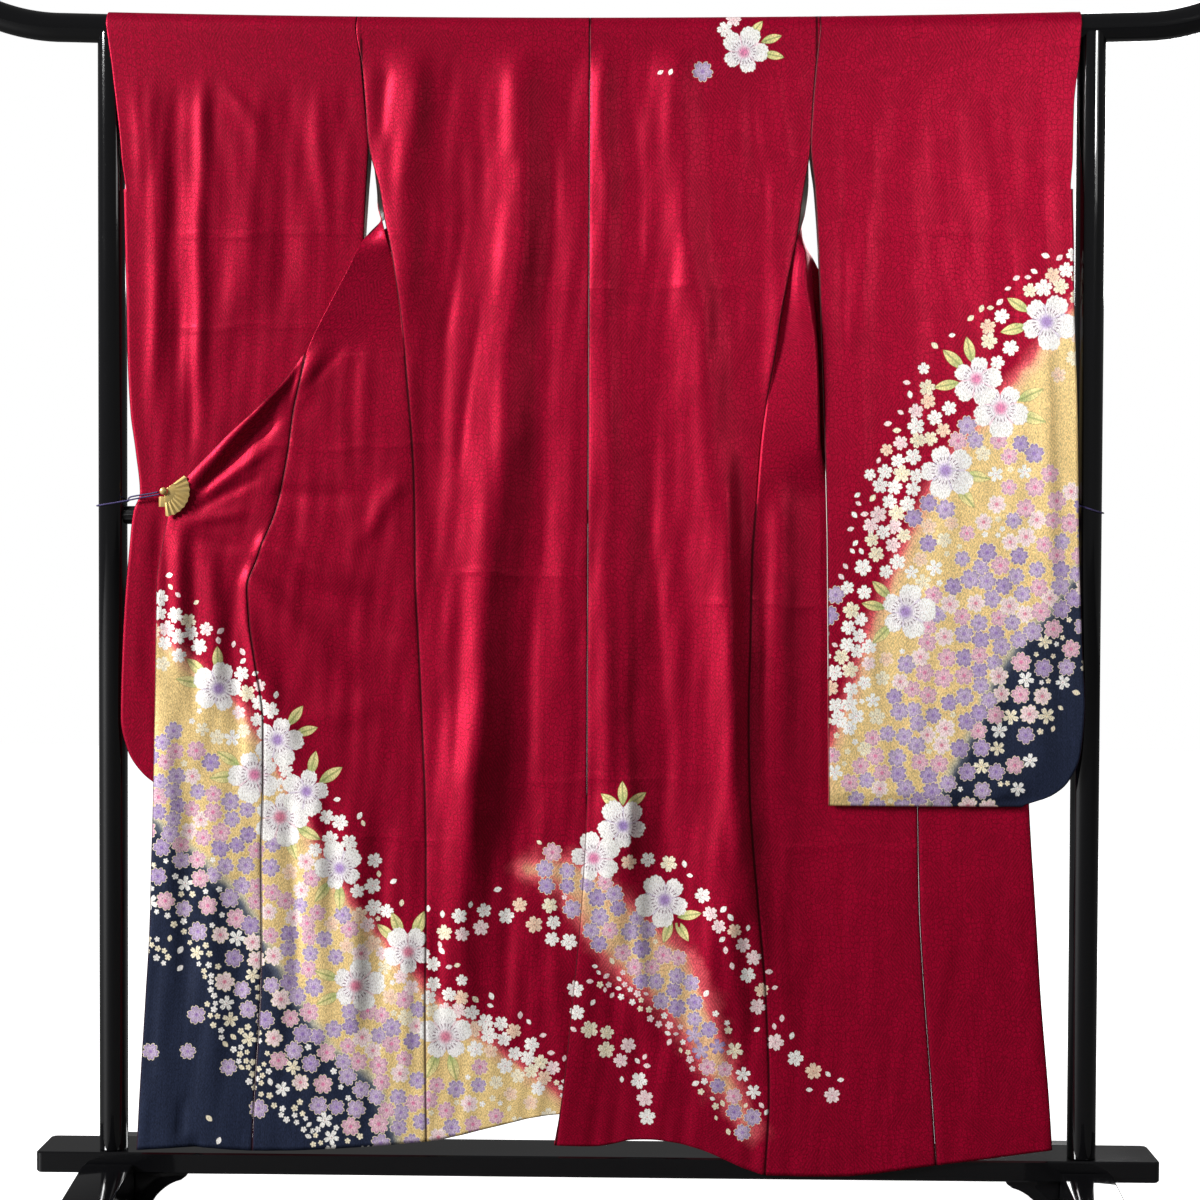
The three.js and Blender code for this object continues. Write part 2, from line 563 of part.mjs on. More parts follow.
// ---------------------------------------------------------------- collar
// One folded band from clip to clip round the neck: a is its sewn edge, b its free edge.
const COLLAR = table(['ax', 'ay', 'az', 'bx', 'by', 'bz'], [
  [-560, -24.6, 1013, -530, -23.4, 968], [-517, -25, 1070, -478, -23.4, 1031],
  [-460, -25, 1123, -424, -23.4, 1082], [-402, -25.8, 1188, -362, -23.4, 1152],
  [-364, -29.4, 1260, -318, -23.4, 1236], [-338, -31.5, 1310, -296, -22, 1290],
  [-318, -24, 1342, -280, -16, 1318], [-304, -8, 1364, -264, -2, 1336],
  [-281, 11, 1386, -246, 14, 1358], [-252, 22, 1424, -212, 24.5, 1392],
  [-230, 24.2, 1478, -190, 24.5, 1445],
  [-188, 23.4, 1531, -144, 24.5, 1498], [-138, 23.4, 1590, -95, 24.5, 1556],
  [-99, 22.8, 1630, -70, 25, 1583], [-56, 22.8, 1637, -45, 25, 1583],
  [-13, 22.8, 1637.5, -13, 25, 1583], [30, 22.8, 1637, 19, 25, 1583],
  [73, 22.8, 1630, 45, 25, 1583], [104, 23.4, 1591, 62, 24.5, 1556],
  [146, 23.4, 1531, 103, 24.5, 1497], [187, 24, 1470, 143, 24.5, 1438],
  [217, 23, 1430, 172, 24, 1394], [248, 19, 1389, 203, 22, 1352],
  [264, 14.5, 1365, 226, 17, 1325], [284, 3.5, 1340, 244, 8, 1300],
  [307, -4.6, 1299, 268, -2, 1260], [374, -8.4, 1233, 335, -8.4, 1194],
  [450, -9.8, 1193, 411, -9.8, 1154], [505, -11.4, 1125, 466, -11.4, 1086],
  [552, -12, 1072, 513, -12, 1033], [606, -12, 1014, 572, -12, 1000],
]);
const COLLAR_COLUMNS = 2;

function collar() {
  const surface = new Surface();
  const rows = COLLAR.map((c) => {
    const line = [];
    for (let j = 0; j <= COLLAR_COLUMNS; j++) {
      line.push(point(c.ax, c.ay, c.az).lerp(point(c.bx, c.by, c.bz), j / COLLAR_COLUMNS));
    }
    return line;
  });
  const numbers = surface.grid(rows);
  for (let i = 0; i + 1 < numbers.length; i++) surface.strip(numbers[i], numbers[i + 1]);
  place('collar', wall(surface, COLLAR_CLOTH), CRIMSON);
}

// ---------------------------------------------------------------- stand
class BarLine extends THREE.Curve {
  getPoint(t, target = new THREE.Vector3()) {
    const bend = BAR_BEND_R * BAR_BEND_ANGLE;
    const reach = BAR_BEND_X + bend + BAR_TIP;
    const s = (2 * t - 1) * reach;
    const side = Math.sign(s) || 1;
    const d = Math.abs(s);
    if (d <= BAR_BEND_X) return target.set(s, 0, barHeight(s));
    const angle = Math.min(d - BAR_BEND_X, bend) / BAR_BEND_R;
    const past = Math.max(d - BAR_BEND_X - bend, 0);
    const x = BAR_BEND_X + BAR_BEND_R * Math.sin(angle) + past * Math.cos(BAR_BEND_ANGLE);
    const z = barHeight(BAR_BEND_X) + BAR_BEND_R * (1 - Math.cos(angle)) + past * Math.sin(BAR_BEND_ANGLE);
    return target.set(side * x, 0, z);
  }
}

function disc(radius, sides) {
  const shape = new THREE.Shape();
  for (let k = 0; k < sides; k++) {
    const angle = (2 * Math.PI * (k + 0.5)) / sides;
    const x = radius * Math.cos(angle);
    const y = radius * Math.sin(angle);
    if (k === 0) shape.moveTo(x, y);
    else shape.lineTo(x, y);
  }
  shape.closePath();
  return shape;
}

const wasm = await Module();
wasm.setup();

function toSolid(geometry) {
  const bare = geometry.clone();
  for (const name of ['normal', 'uv']) bare.deleteAttribute(name);
  const merged = mergeVertices(bare, 1e-3);
  return new wasm.Manifold(new wasm.Mesh({
    numProp: 3,
    vertProperties: new Float32Array(merged.attributes.position.array),
    triVerts: new Uint32Array(merged.index.array),
  }));
}

function toGeometry(solid) {
  const mesh = solid.getMesh();
  const geometry = new THREE.BufferGeometry();
  geometry.setAttribute('position', new THREE.Float32BufferAttribute(mesh.vertProperties, 3));
  geometry.setIndex([...mesh.triVerts]);
  return geometry;
}

// A cylinder between two points, turned and placed in its own mesh.
function rod(from, to, radius, sides) {
  const geometry = new THREE.CylinderGeometry(radius, radius, from.distanceTo(to), sides);
  const direction = to.clone().sub(from).normalize();
  geometry.applyQuaternion(new THREE.Quaternion().setFromUnitVectors(point(0, 1, 0), direction));
  const middle = from.clone().add(to).multiplyScalar(0.5);
  geometry.translate(middle.x, middle.y, middle.z);
  return geometry;
}

function topBar() {
  const geometry = new THREE.ExtrudeGeometry(disc(TUBE_R, 20), {
    steps: 34, extrudePath: new BarLine(), bevelEnabled: false,
  });
  place('top_bar', geometry, LACQUER);
}

function post(name, x) {
  const whole = toSolid(rod(point(x, 0, PLANK_TOP + GAP), point(x, 0, barHeight(x)), TUBE_R, 28));
  const seat = toSolid(rod(point(x - 60, 0, barHeight(x)), point(x + 60, 0, barHeight(x)), TUBE_R + 0.8, 28));
  place(name, toGeometry(whole.subtract(seat)), LACQUER);
}

function roundedBox(width, depth, radius) {
  const shape = new THREE.Shape();
  const w = width / 2 - radius;
  const d = depth / 2 - radius;
  shape.absarc(w, d, radius, 0, Math.PI / 2);
  shape.absarc(-w, d, radius, Math.PI / 2, Math.PI);
  shape.absarc(-w, -d, radius, Math.PI, 1.5 * Math.PI);
  shape.absarc(w, -d, radius, 1.5 * Math.PI, 2 * Math.PI);
  shape.closePath();
  return shape;
}

function plank() {
  const edge = 2;
  const shape = roundedBox(2 * (PLANK_HALF - edge), PLANK_BACK - PLANK_FRONT - 2 * edge, 8);
  const geometry = new THREE.ExtrudeGeometry(shape, {
    depth: PLANK_THICK - 2 * edge, bevelSize: edge, bevelThickness: edge, bevelSegments: 1,
    curveSegments: 3,
  });
  geometry.translate(0, (PLANK_FRONT + PLANK_BACK) / 2, PLANK_TOP - PLANK_THICK + edge);
  place('base_plank', geometry, LACQUER);
}

// The foot runs from front to back under the plank, which is let into its middle.
function foot(name, x) {
  const middle = (PLANK_FRONT + PLANK_BACK) / 2;
  const half = (PLANK_BACK - PLANK_FRONT) / 2 + GAP;
  const shape = new THREE.Shape();
  const pad = 78;
  const arch = 20;
  shape.moveTo(-FOOT_REACH, 0);
  shape.lineTo(-FOOT_REACH + pad, 0);
  shape.quadraticCurveTo(-FOOT_REACH + pad + 30, arch, -60, arch);
  shape.lineTo(60, arch);
  shape.quadraticCurveTo(FOOT_REACH - pad - 30, arch, FOOT_REACH - pad, 0);
  shape.lineTo(FOOT_REACH, 0);
  shape.lineTo(FOOT_REACH, 22);
  shape.quadraticCurveTo(FOOT_REACH, FOOT_TOE, FOOT_REACH - 52, FOOT_TOE + 4);
  shape.lineTo(half + 14, FOOT_SHOULDER);
  shape.lineTo(half, FOOT_SHOULDER);
  shape.lineTo(half, PLANK_TOP - PLANK_THICK - GAP);
  shape.lineTo(-half, PLANK_TOP - PLANK_THICK - GAP);
  shape.lineTo(-half, FOOT_SHOULDER);
  shape.lineTo(-half - 14, FOOT_SHOULDER);
  shape.lineTo(-FOOT_REACH + 52, FOOT_TOE + 4);
  shape.quadraticCurveTo(-FOOT_REACH, FOOT_TOE, -FOOT_REACH, 22);
  shape.closePath();
  const geometry = new THREE.ExtrudeGeometry(shape, {
    depth: FOOT_WIDTH, bevelEnabled: false, curveSegments: 6,
  });
  // (across, up, thickness) becomes (Y, Z, X)
  geometry.applyMatrix4(new THREE.Matrix4().makeBasis(point(0, 1, 0), point(0, 0, 1), point(1, 0, 0)));
  geometry.translate(x - FOOT_WIDTH / 2, middle, 0);
  place(name, geometry, LACQUER);
}

// A curved bracket between the foot's inner face and the underside of the plank.
function gusset(name, footX) {
  const inward = -Math.sign(footX);
  const shape = new THREE.Shape();
  shape.moveTo(0, 0);
  shape.lineTo(GUSSET_REACH, 0);
  shape.lineTo(GUSSET_REACH, -5);
  shape.lineTo(GUSSET_REACH - 8, -11);
  shape.quadraticCurveTo(GUSSET_REACH - 38, -18, 14, -GUSSET_DROP);
  shape.lineTo(0, -GUSSET_DROP);
  shape.closePath();
  const geometry = new THREE.ExtrudeGeometry(shape, {
    depth: GUSSET_THICK, bevelEnabled: false, curveSegments: 8,
  });
  // (along, up, thickness) becomes (inward X, Z, Y); the right one is turned round, not mirrored
  const across = point(inward, 0, 0);
  const up = point(0, 0, 1);
  geometry.applyMatrix4(new THREE.Matrix4().makeBasis(across, up, across.clone().cross(up)));
  const y = inward > 0 ? GUSSET_THICK / 2 : -GUSSET_THICK / 2;
  geometry.translate(footX + inward * (FOOT_WIDTH / 2 + GAP), y, PLANK_TOP - PLANK_THICK - GAP);
  place(name, geometry, LACQUER);
}

function midRail() {
  const end = POST_X - TUBE_R - 12;
  place('mid_rail', rod(point(-end, 0, RAIL_Z), point(end, 0, RAIL_Z), RAIL_R, 16), LACQUER);
  for (const [name, side] of [['rail_cap_left', -1], ['rail_cap_right', 1]]) {
    const flutes = 12;
    const shape = new THREE.Shape();
    for (let k = 0; k < 2 * flutes; k++) {
      const angle = (Math.PI * k) / flutes;
      const r = k % 2 ? RAIL_CAP_R - 1.4 : RAIL_CAP_R;
      const method = k === 0 ? 'moveTo' : 'lineTo';
      shape[method](r * Math.cos(angle), r * Math.sin(angle));
    }
    shape.closePath();
    const geometry = new THREE.ExtrudeGeometry(shape, { depth: RAIL_CAP_LENGTH, bevelEnabled: false });
    geometry.applyMatrix4(new THREE.Matrix4().makeBasis(point(0, 1, 0), point(0, 0, 1), point(1, 0, 0)));
    const start = side < 0 ? -POST_X + 10 : POST_X - 10 - RAIL_CAP_LENGTH;
    geometry.translate(start, 0, RAIL_Z);
    const tube = toSolid(rod(point(side * POST_X, 0, RAIL_Z - 40), point(side * POST_X, 0, RAIL_Z + 40), TUBE_R + GAP, 28));
    const bore = toSolid(rod(point(-end - 1, 0, RAIL_Z), point(end + 1, 0, RAIL_Z), RAIL_R + GAP, 16));
    place(name, toGeometry(toSolid(geometry).subtract(tube).subtract(bore)), RESIN);
  }
}

// ---------------------------------------------------------------- clips and cords
// A folding-fan ornament, seen from -Y: pleated leaf, plain inner ribs and a round head at the pivot.
function fanClip(pivot) {
  const surface = new Surface();
  const first = THREE.MathUtils.degToRad(37);
  const last = THREE.MathUtils.degToRad(-86);
  const rays = 2 * FAN_PLEATS + 1;
  const rings = table(['radius', 'pleat'], [[5, 0], [16, 0], [18, 1.1], [FAN_R, 1.5]]);
  const rows = rings.map((ring) => {
    const line = [];
    for (let k = 0; k < rays; k++) {
      const angle = mix(first, last, k / (rays - 1));
      const scallop = ring.radius === FAN_R && k % 2 === 0 ? -1.5 : 0;
      const r = ring.radius + scallop;
      const y = pivot.y + (k % 2 ? -ring.pleat : ring.pleat) / 2;
      line.push(point(pivot.x + r * Math.cos(angle), y, pivot.z + r * Math.sin(angle)));
    }
    return line;
  });
  const numbers = surface.grid(rows);
  for (let i = 0; i + 1 < numbers.length; i++) surface.strip(numbers[i], numbers[i + 1]);
  place('fan_clip', wall(surface, 1.2), GOLD);

  const head = new THREE.LatheGeometry([
    new THREE.Vector2(0, 0), new THREE.Vector2(5, 0), new THREE.Vector2(5, 1.6),
    new THREE.Vector2(3.4, 3), new THREE.Vector2(0, 3.4),
  ], 16);
  head.rotateX(Math.PI);
  head.translate(pivot.x - 0.5, pivot.y - 0.9, pivot.z - 0.5);
  place('fan_clip_head', head, GOLD);
}

// A bent spring strip that holds the cloth's edge between its two legs. It opens towards +X or -X.
function springClip(name, x, z, front, back, reach) {
  const surface = new Surface();
  const height = 14;
  const side = Math.sign(reach);
  const profile = [
    point(x + reach, front, 0), point(x, front, 0), point(x - side * 3, (front + back) / 2, 0),
    point(x, back, 0), point(x + reach, back, 0),
  ];
  const rows = [z - height / 2, z + height / 2].map((h) => profile.map((p) => point(p.x, p.y, h)));
  const numbers = surface.grid(side > 0 ? [rows[1], rows[0]] : rows);
  surface.strip(numbers[0], numbers[1]);
  place(name, wall(surface, 0.8), GOLD);
}

// A cord looped once round a post, with both of its strands running to the clip.
function cord(name, points) {
  const path = new THREE.CatmullRomCurve3(points.map((p) => point(...p)), false, 'centripetal');
  const geometry = new THREE.ExtrudeGeometry(disc(CORD_R, 8), {
    steps: 40, extrudePath: path, bevelEnabled: false,
  });
  place(name, geometry, PURPLE);
}
const CORD_LEFT = [
  [-598, -30.5, 1008], [-612, -28.5, 1005.5], [-632, -26.5, 1002], [-650, -23.5, 998.5],
  [-668, -21.6, 995.5], [-682, -17.5, 993.5], [-690.5, -7, 992.5], [-690.5, 7, 993],
  [-682, 17.5, 994.5], [-668, 21.6, 996.5], [-655, 15.5, 998.5], [-648.8, 4, 1000.5],
  [-646.5, -8, 1002.5], [-641, -19.5, 1004.5], [-632, -25.5, 1006], [-614, -28.5, 1008.6],
  [-600, -30.5, 1011.2],
];
const CORD_RIGHT = [
  [637.5, -13.6, 1003.5], [642, -14.4, 1001], [650, -18.2, 998.5], [660, -21, 996],
  [670, -21.4, 992.5], [682, -17.5, 989], [690.5, -7, 987.5], [690.5, 7, 988.5],
  [682, 17.5, 990.5], [670, 21.4, 993.5], [657, 17.4, 997.5], [649.5, 8.5, 1001], [647, -2, 1003.8],
  [643, -9, 1005.6], [637.5, -11, 1007.2],
];

// ---------------------------------------------------------------- assembly
bodyHalf(-1);
bodyHalf(1);
okumiLeft();
okumiRight();
sleeve(-1);
sleeve(1);
collar();
topBar();
post('post_left', -POST_X);
post('post_right', POST_X);
plank();
foot('foot_left', -POST_X - 2);
foot('foot_right', POST_X + 2);
gusset('gusset_left', -POST_X - 2);
gusset('gusset_right', POST_X + 2);
midRail();
fanClip(point(-592, -33.1, 1013));
springClip('clip_spring_left', -597, 998, -30.7, -24, 28);
springClip('clip_spring_right', 632, 1004, -17.6, -12.8, -24);
cord('cord_left', CORD_LEFT);
cord('cord_right', CORD_RIGHT);
kimono.position.y = -(PLANK_FRONT + PLANK_BACK) / 2;

export default kimono;
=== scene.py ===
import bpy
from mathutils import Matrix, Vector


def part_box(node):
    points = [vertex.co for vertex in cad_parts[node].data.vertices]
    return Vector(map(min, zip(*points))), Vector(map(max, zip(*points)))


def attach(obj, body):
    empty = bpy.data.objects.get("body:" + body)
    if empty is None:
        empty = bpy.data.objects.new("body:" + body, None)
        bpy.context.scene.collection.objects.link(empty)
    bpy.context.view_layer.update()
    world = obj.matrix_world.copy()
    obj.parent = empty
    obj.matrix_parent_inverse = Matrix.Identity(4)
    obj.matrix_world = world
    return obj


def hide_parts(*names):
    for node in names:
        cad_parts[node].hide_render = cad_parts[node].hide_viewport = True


bl_info = {
    "name": "Furisode on a kimono stand",
    "version": (1, 0, 0),
    "blender": (4, 5, 0),
    "location": "View3D > Sidebar > Kimono",
    "description": "Builds a long-sleeved silk kimono hung on a lacquered stand",
    "category": "Object",
}

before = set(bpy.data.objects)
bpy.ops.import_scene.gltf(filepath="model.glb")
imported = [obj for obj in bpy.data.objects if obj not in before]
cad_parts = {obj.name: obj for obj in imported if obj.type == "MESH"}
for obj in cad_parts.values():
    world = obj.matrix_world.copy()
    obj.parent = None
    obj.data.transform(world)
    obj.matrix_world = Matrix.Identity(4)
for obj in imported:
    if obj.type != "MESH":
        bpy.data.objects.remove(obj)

import math

import bpy
import numpy as np
from bpy.props import FloatProperty, FloatVectorProperty, PointerProperty
from mathutils import Matrix, Vector

# Sizes are millimetres from the plane of the bar and posts (y = 0), which stands this far in front
# of the frame's origin; pieces become metres in the frame when their mesh is made.
PLANK_MIDDLE = 19.0
MM = 0.001

# ---------------------------------------------------------------- sizes shared with the solids
TUBE_R = 19.5
POST_X = 670.0
BAR_Z = 1639.5
BAR_BOW = 8.0
DRAPE_R = TUBE_R + 1.85         # middle of the cloth where it lies over the bar
WRIST_Z = 1425.0
SIDE_TOP_LEFT = 1335.0
SIDE_TOP_RIGHT = 1356.0
BODY_STRIPS = 11
NECK_STRIPS = 3
NECK_LEFT = -101.0
NECK_RIGHT = 75.0
LEFT_BAR_SIDE = -331.0
RIGHT_BAR_SIDE = 299.0
LAST_ROW = 1598.0               # the highest row of the size tables
SEAM = 0.2                      # half the gap between sewn panels
EDGE_IN = 3.0
EDGE_HALF = 2.2


def table(names, rows):
    """Named columns of a short size table; None marks a place with no cloth."""
    data = np.array([[np.nan if v is None else v for v in row] for row in rows], float)
    return {name: data[:, i] for i, name in enumerate(names.split())}


HANG = table("z y", [
    (80, -30), (400, -29), (1000, -28), (1300, -26), (1484, -22), (1540, -21.8), (1598, -21.3),
    (1641, -DRAPE_R)])

CENTRE = table("z left right lap", [
    (100, -34, -56, -6), (235, -26, -40, -6), (318, -20, -32, -5.4), (400, -14, -24, -5),
    (521, -9, -16, -4.4), (545, -9.5, -15, -4), (570, -11, -14, -3), (590, -12.4, -13.2, -1.4),
    (604, -13, -13, 0), (1700, -13, -13, 0)])

LEFT_ROWS = table("z side seam", [
    (120, -232, -472), (199, -233, -468), (309, -234, -461), (415, -233, -459), (521, -233, -460),
    (540, -233.4, -459.4), (600, -234.7, -457.4), (698, -239, -457), (782, -243, -468),
    (837, -246, -476), (878, -248, -478), (924, -249, -464), (991, -250, -439), (1069, -253, -423),
    (1122, -257, -416), (1163, -260.5, -406.5), (1203, -264, -397), (1260, -270, None),
    (1310, -277, None), (1335, -281, None), (1387, -292, None), (1427, -299, None),
    (1484, -314, None), (1540, -318.7, None), (1598, -324, None)])

RIGHT_ROWS = table("z side seam", [
    (80, 233, 467), (182, 238, 461), (321, 233, 450), (452, 221, 442), (540, 213, 440),
    (600, 209, 439), (720, 207, 440), (813, 209, 443), (922, 211, 447), (1003, 217, 450),
    (1084, 223, None), (1137, 230, None), (1210, 242, None), (1253, 248, None), (1300, 257, None),
    (1337, 265, None), (1356, 269, None), (1415, 277, None), (1484, 287.5, None), (1540, 290, None),
    (1598, 294.6, None)])

HEM_LEFT = table("x height", [
    (-632, 105), (-553, 110), (-472, 106), (-232, 121), (-131, 144), (-76, 157), (-13, 164)])
HEM_RIGHT = table("x height", [
    (-56, 119), (0, 117), (62, 127), (102, 124), (152, 111), (198, 91), (233, 79), (320, 78),
    (467, 95), (625, 117)])

# Rows of the fronts between the part that hangs flat and the bar: e is the front edge, g and f are
# places where the cloth turns, s is the side edge (None: the side seam).
LEFT_TURN = table("ex ey ez sx sy sz", [
    (-368, -35, 1262, None, None, 1260), (-342, -35, 1311, None, None, 1310),
    (-330, -34, 1336, None, None, 1335), (-323, -27, 1351, -287, -30, 1350),
    (-314, -13, 1366, -291, -32, 1366), (-300, 4, 1384, -296, -29, 1384),
    (-281, 14, 1403, -302, -17, 1403), (-260, 18.5, 1425, -305.5, 2, 1425),
    (-235, 20, 1484, -314, 17, 1484), (-190, DRAPE_R, 1535, -318.7, 19.4, 1540),
    (-140, DRAPE_R, 1595, -324, DRAPE_R, 1598)])
RIGHT_TURN = table("ex ey ez gx gy gz fx fy fz sx sy sz", [
    (452, -15.4, 1084, 306, -15.4, 1084, 298, -33, 1084, None, None, 1084),
    (453, -14.6, 1145, 304, -14.6, 1138, 297, -36, 1137, None, None, 1137),
    (449, -13, 1202, 301, -13, 1208, 294, -36, 1210, None, None, 1210),
    (372, -11.6, 1240, 298, -12, 1252, 288, -35, 1253, None, None, 1253),
    (306, -8, 1308, 291, -10, 1304, 281, -33, 1300, None, None, 1300),
    (290, -4, 1337, 286, -14, 1337, 279, -28, 1337, None, None, 1337),
    (279, 4, 1356, 280, -6, 1356, 277, -18, 1356, None, None, 1356),
    (266, 11, 1375, 272, 3, 1375, 276, -8, 1375, 275, -20, 1375),
    (254, 14, 1395, 265, 9, 1395, 274, 0, 1395, 281, -8, 1395),
    (222, 18, 1438, 247, 17, 1438, 266, 14, 1439, 287, 8, 1440),
    (190, DRAPE_R, 1480, 234, 20, 1482, 262, 19, 1483, 287.5, 17, 1484),
    (148, DRAPE_R, 1535, 210, DRAPE_R, 1537, 228, DRAPE_R, 1538, 290, 19.6, 1540),
    (106, DRAPE_R, 1596, 188, DRAPE_R, 1597, 210, DRAPE_R, 1597, 294.6, DRAPE_R, 1598)])
BEHIND_SLEEVE = table("z y", [
    (80, -30), (182, -28.5), (321, -25), (452, -22), (560, -18.6), (720, -16.6), (1003, -15.5),
    (1700, -15.5)])

OKUMI_LEFT = table("z edge edge_z depth", [
    (120, -632, 105, -30), (199, -627, 199, -30), (309, -620, 309, -30), (415, -614, 415, -29),
    (521, -611, 521, -29), (540, -610.4, 540, -29), (600, -608.4, 600, -29),
    (698, -606.5, 698, -29), (782, -605, 782, -29), (837, -604, 837, -29), (878, -603.5, 886, -29),
    (924, -597, 934, -28.5), (991, -581, 1001, -28), (1069, -519, 1075, -28),
    (1122, -462, 1128, -28), (1163, -429, 1163, -28.5)])
OKUMI_RIGHT = table("z edge edge_z depth", [
    (80, 625, 117, -29), (182, 620, 190, -28), (321, 609, 318, -25), (452, 600, 455, -22),
    (540, 594, 542, -19.2), (600, 591, 600, -18), (720, 592, 710, -16.6), (813, 598, 805, -16),
    (922, 612, 915, -15.5), (1003, 620, 996, -15.5)])
OKUMI_RIGHT_TOP = table("ex ey ez x z", [
    (452, -15.4, 1084, 553, 1077), (453, -14.6, 1145, 506, 1130)])
OKUMI_STRIPS = 6

SLEEVE_LEFT = table("z outer inner back front", [
    (600, -585, -327, -20, -13.5), (612, -609, -327, -20, -13.6), (626, -626, -327, -20, -13.6),
    (655, -645, -327, -20, -13.7), (700, -655, -326, -20, -13.8), (782, -653, -326, -20, -14),
    (860, -649, -325, -20.2, -14.2), (930, -643, -325, -20.4, -14.4),
    (985, -637, -324, -20.6, -14.5), (1010, -628, -324, -20.6, -14.3),
    (1069, -634, -323, -20.6, -12.4), (1122, -641, -323, -20.6, -10.5),
    (1203, -645, -322, -20.6, -6.5), (1270, -646, -321.5, -20.6, -3),
    (1348, -648, -320.5, -20.6, 2.5), (1425, -650, -317, -21.2, 10), (1484, -653, -314, -22, 17),
    (1540, -659, -318.7, -21.8, 19.4), (1598, -666, -324, -21.3, DRAPE_R)])
SLEEVE_RIGHT = table("z outer inner back front", [
    (590, 584, 317, -31, -21.6), (602, 619, 317, -31, -21.6), (621, 642, 316.5, -31, -21.6),
    (660, 659, 316, -31, -21.5), (725, 664, 315, -31, -21.4), (799, 660, 314.5, -31, -21.3),
    (870, 657, 313.5, -30.7, -21.2), (947, 654, 312.5, -30.3, -21), (1003, 653, 311, -30, -20.7),
    (1084, 651.5, 308.5, -29.5, -20.2), (1140, 650, 306.5, -29, -19.2),
    (1210, 647, 303.8, -28, -17.2), (1290, 644, 300.5, -26.7, -13.8), (1350, 643, 298, -25.5, -7.5),
    (1425, 641, 293.5, -23.5, 6), (1484, 641.5, 287.5, -22, 17), (1540, 642.5, 290, -21.8, 19.6),
    (1598, 649, 294.6, -21.3, DRAPE_R)])
WRIST_LEFT = table("z x y", [
    (1425, -650, -15.8), (1484, -645.5, -3), (1540, -645, 12), (1598, -660, DRAPE_R)])
WRIST_RIGHT = table("z x y", [
    (1425, 641, -22.8), (1484, 640.5, -6), (1540, 642.5, 10), (1598, 650, DRAPE_R)])

COLLAR = table("ax ay az bx by bz", [
    (-560, -24.6, 1013, -530, -23.4, 968), (-517, -25, 1070, -478, -23.4, 1031),
    (-460, -25, 1123, -424, -23.4, 1082), (-402, -25.8, 1188, -362, -23.4, 1152),
    (-364, -29.4, 1260, -318, -23.4, 1236), (-338, -31.5, 1310, -296, -22, 1290),
    (-318, -24, 1342, -280, -16, 1318), (-304, -8, 1364, -264, -2, 1336),
    (-281, 11, 1386, -246, 14, 1358), (-252, 22, 1424, -212, 24.5, 1392),
    (-230, 24.2, 1478, -190, 24.5, 1445), (-188, 23.4, 1531, -144, 24.5, 1498),
    (-138, 23.4, 1590, -95, 24.5, 1556), (-99, 22.8, 1630, -70, 25, 1583),
    (-56, 22.8, 1637, -45, 25, 1583), (-13, 22.8, 1637.5, -13, 25, 1583),
    (30, 22.8, 1637, 19, 25, 1583), (73, 22.8, 1630, 45, 25, 1583),
    (104, 23.4, 1591, 62, 24.5, 1556), (146, 23.4, 1531, 103, 24.5, 1497),
    (187, 24, 1470, 143, 24.5, 1438), (217, 23, 1430, 172, 24, 1394), (248, 19, 1389, 203, 22, 1352),
    (264, 14.5, 1365, 226, 17, 1325), (284, 3.5, 1340, 244, 8, 1300),
    (307, -4.6, 1299, 268, -2, 1260), (374, -8.4, 1233, 335, -8.4, 1194),
    (450, -9.8, 1193, 411, -9.8, 1154), (505, -11.4, 1125, 466, -11.4, 1086),
    (552, -12, 1072, 513, -12, 1033), (606, -12, 1014, 572, -12, 1000)])

CORD_LEFT = [
    (-598, -30.5, 1008), (-612, -28.5, 1005.5), (-632, -26.5, 1002), (-650, -23.5, 998.5),
    (-668, -21.6, 995.5), (-682, -17.5, 993.5), (-690.5, -7, 992.5), (-690.5, 7, 993),
    (-682, 17.5, 994.5), (-668, 21.6, 996.5), (-655, 15.5, 998.5), (-648.8, 4, 1000.5),
    (-646.5, -8, 1002.5), (-641, -19.5, 1004.5), (-632, -25.5, 1006), (-614, -28.5, 1008.6),
    (-600, -30.5, 1011.2)]
CORD_RIGHT = [
    (637.5, -13.6, 1003.5), (642, -14.4, 1001), (650, -18.2, 998.5), (660, -21, 996),
    (670, -21.4, 992.5), (682, -17.5, 989), (690.5, -7, 987.5), (690.5, 7, 988.5),
    (682, 17.5, 990.5), (670, 21.4, 993.5), (657, 17.4, 997.5), (649.5, 8.5, 1001),
    (647, -2, 1003.8), (643, -9, 1005.6), (637.5, -11, 1007.2)]

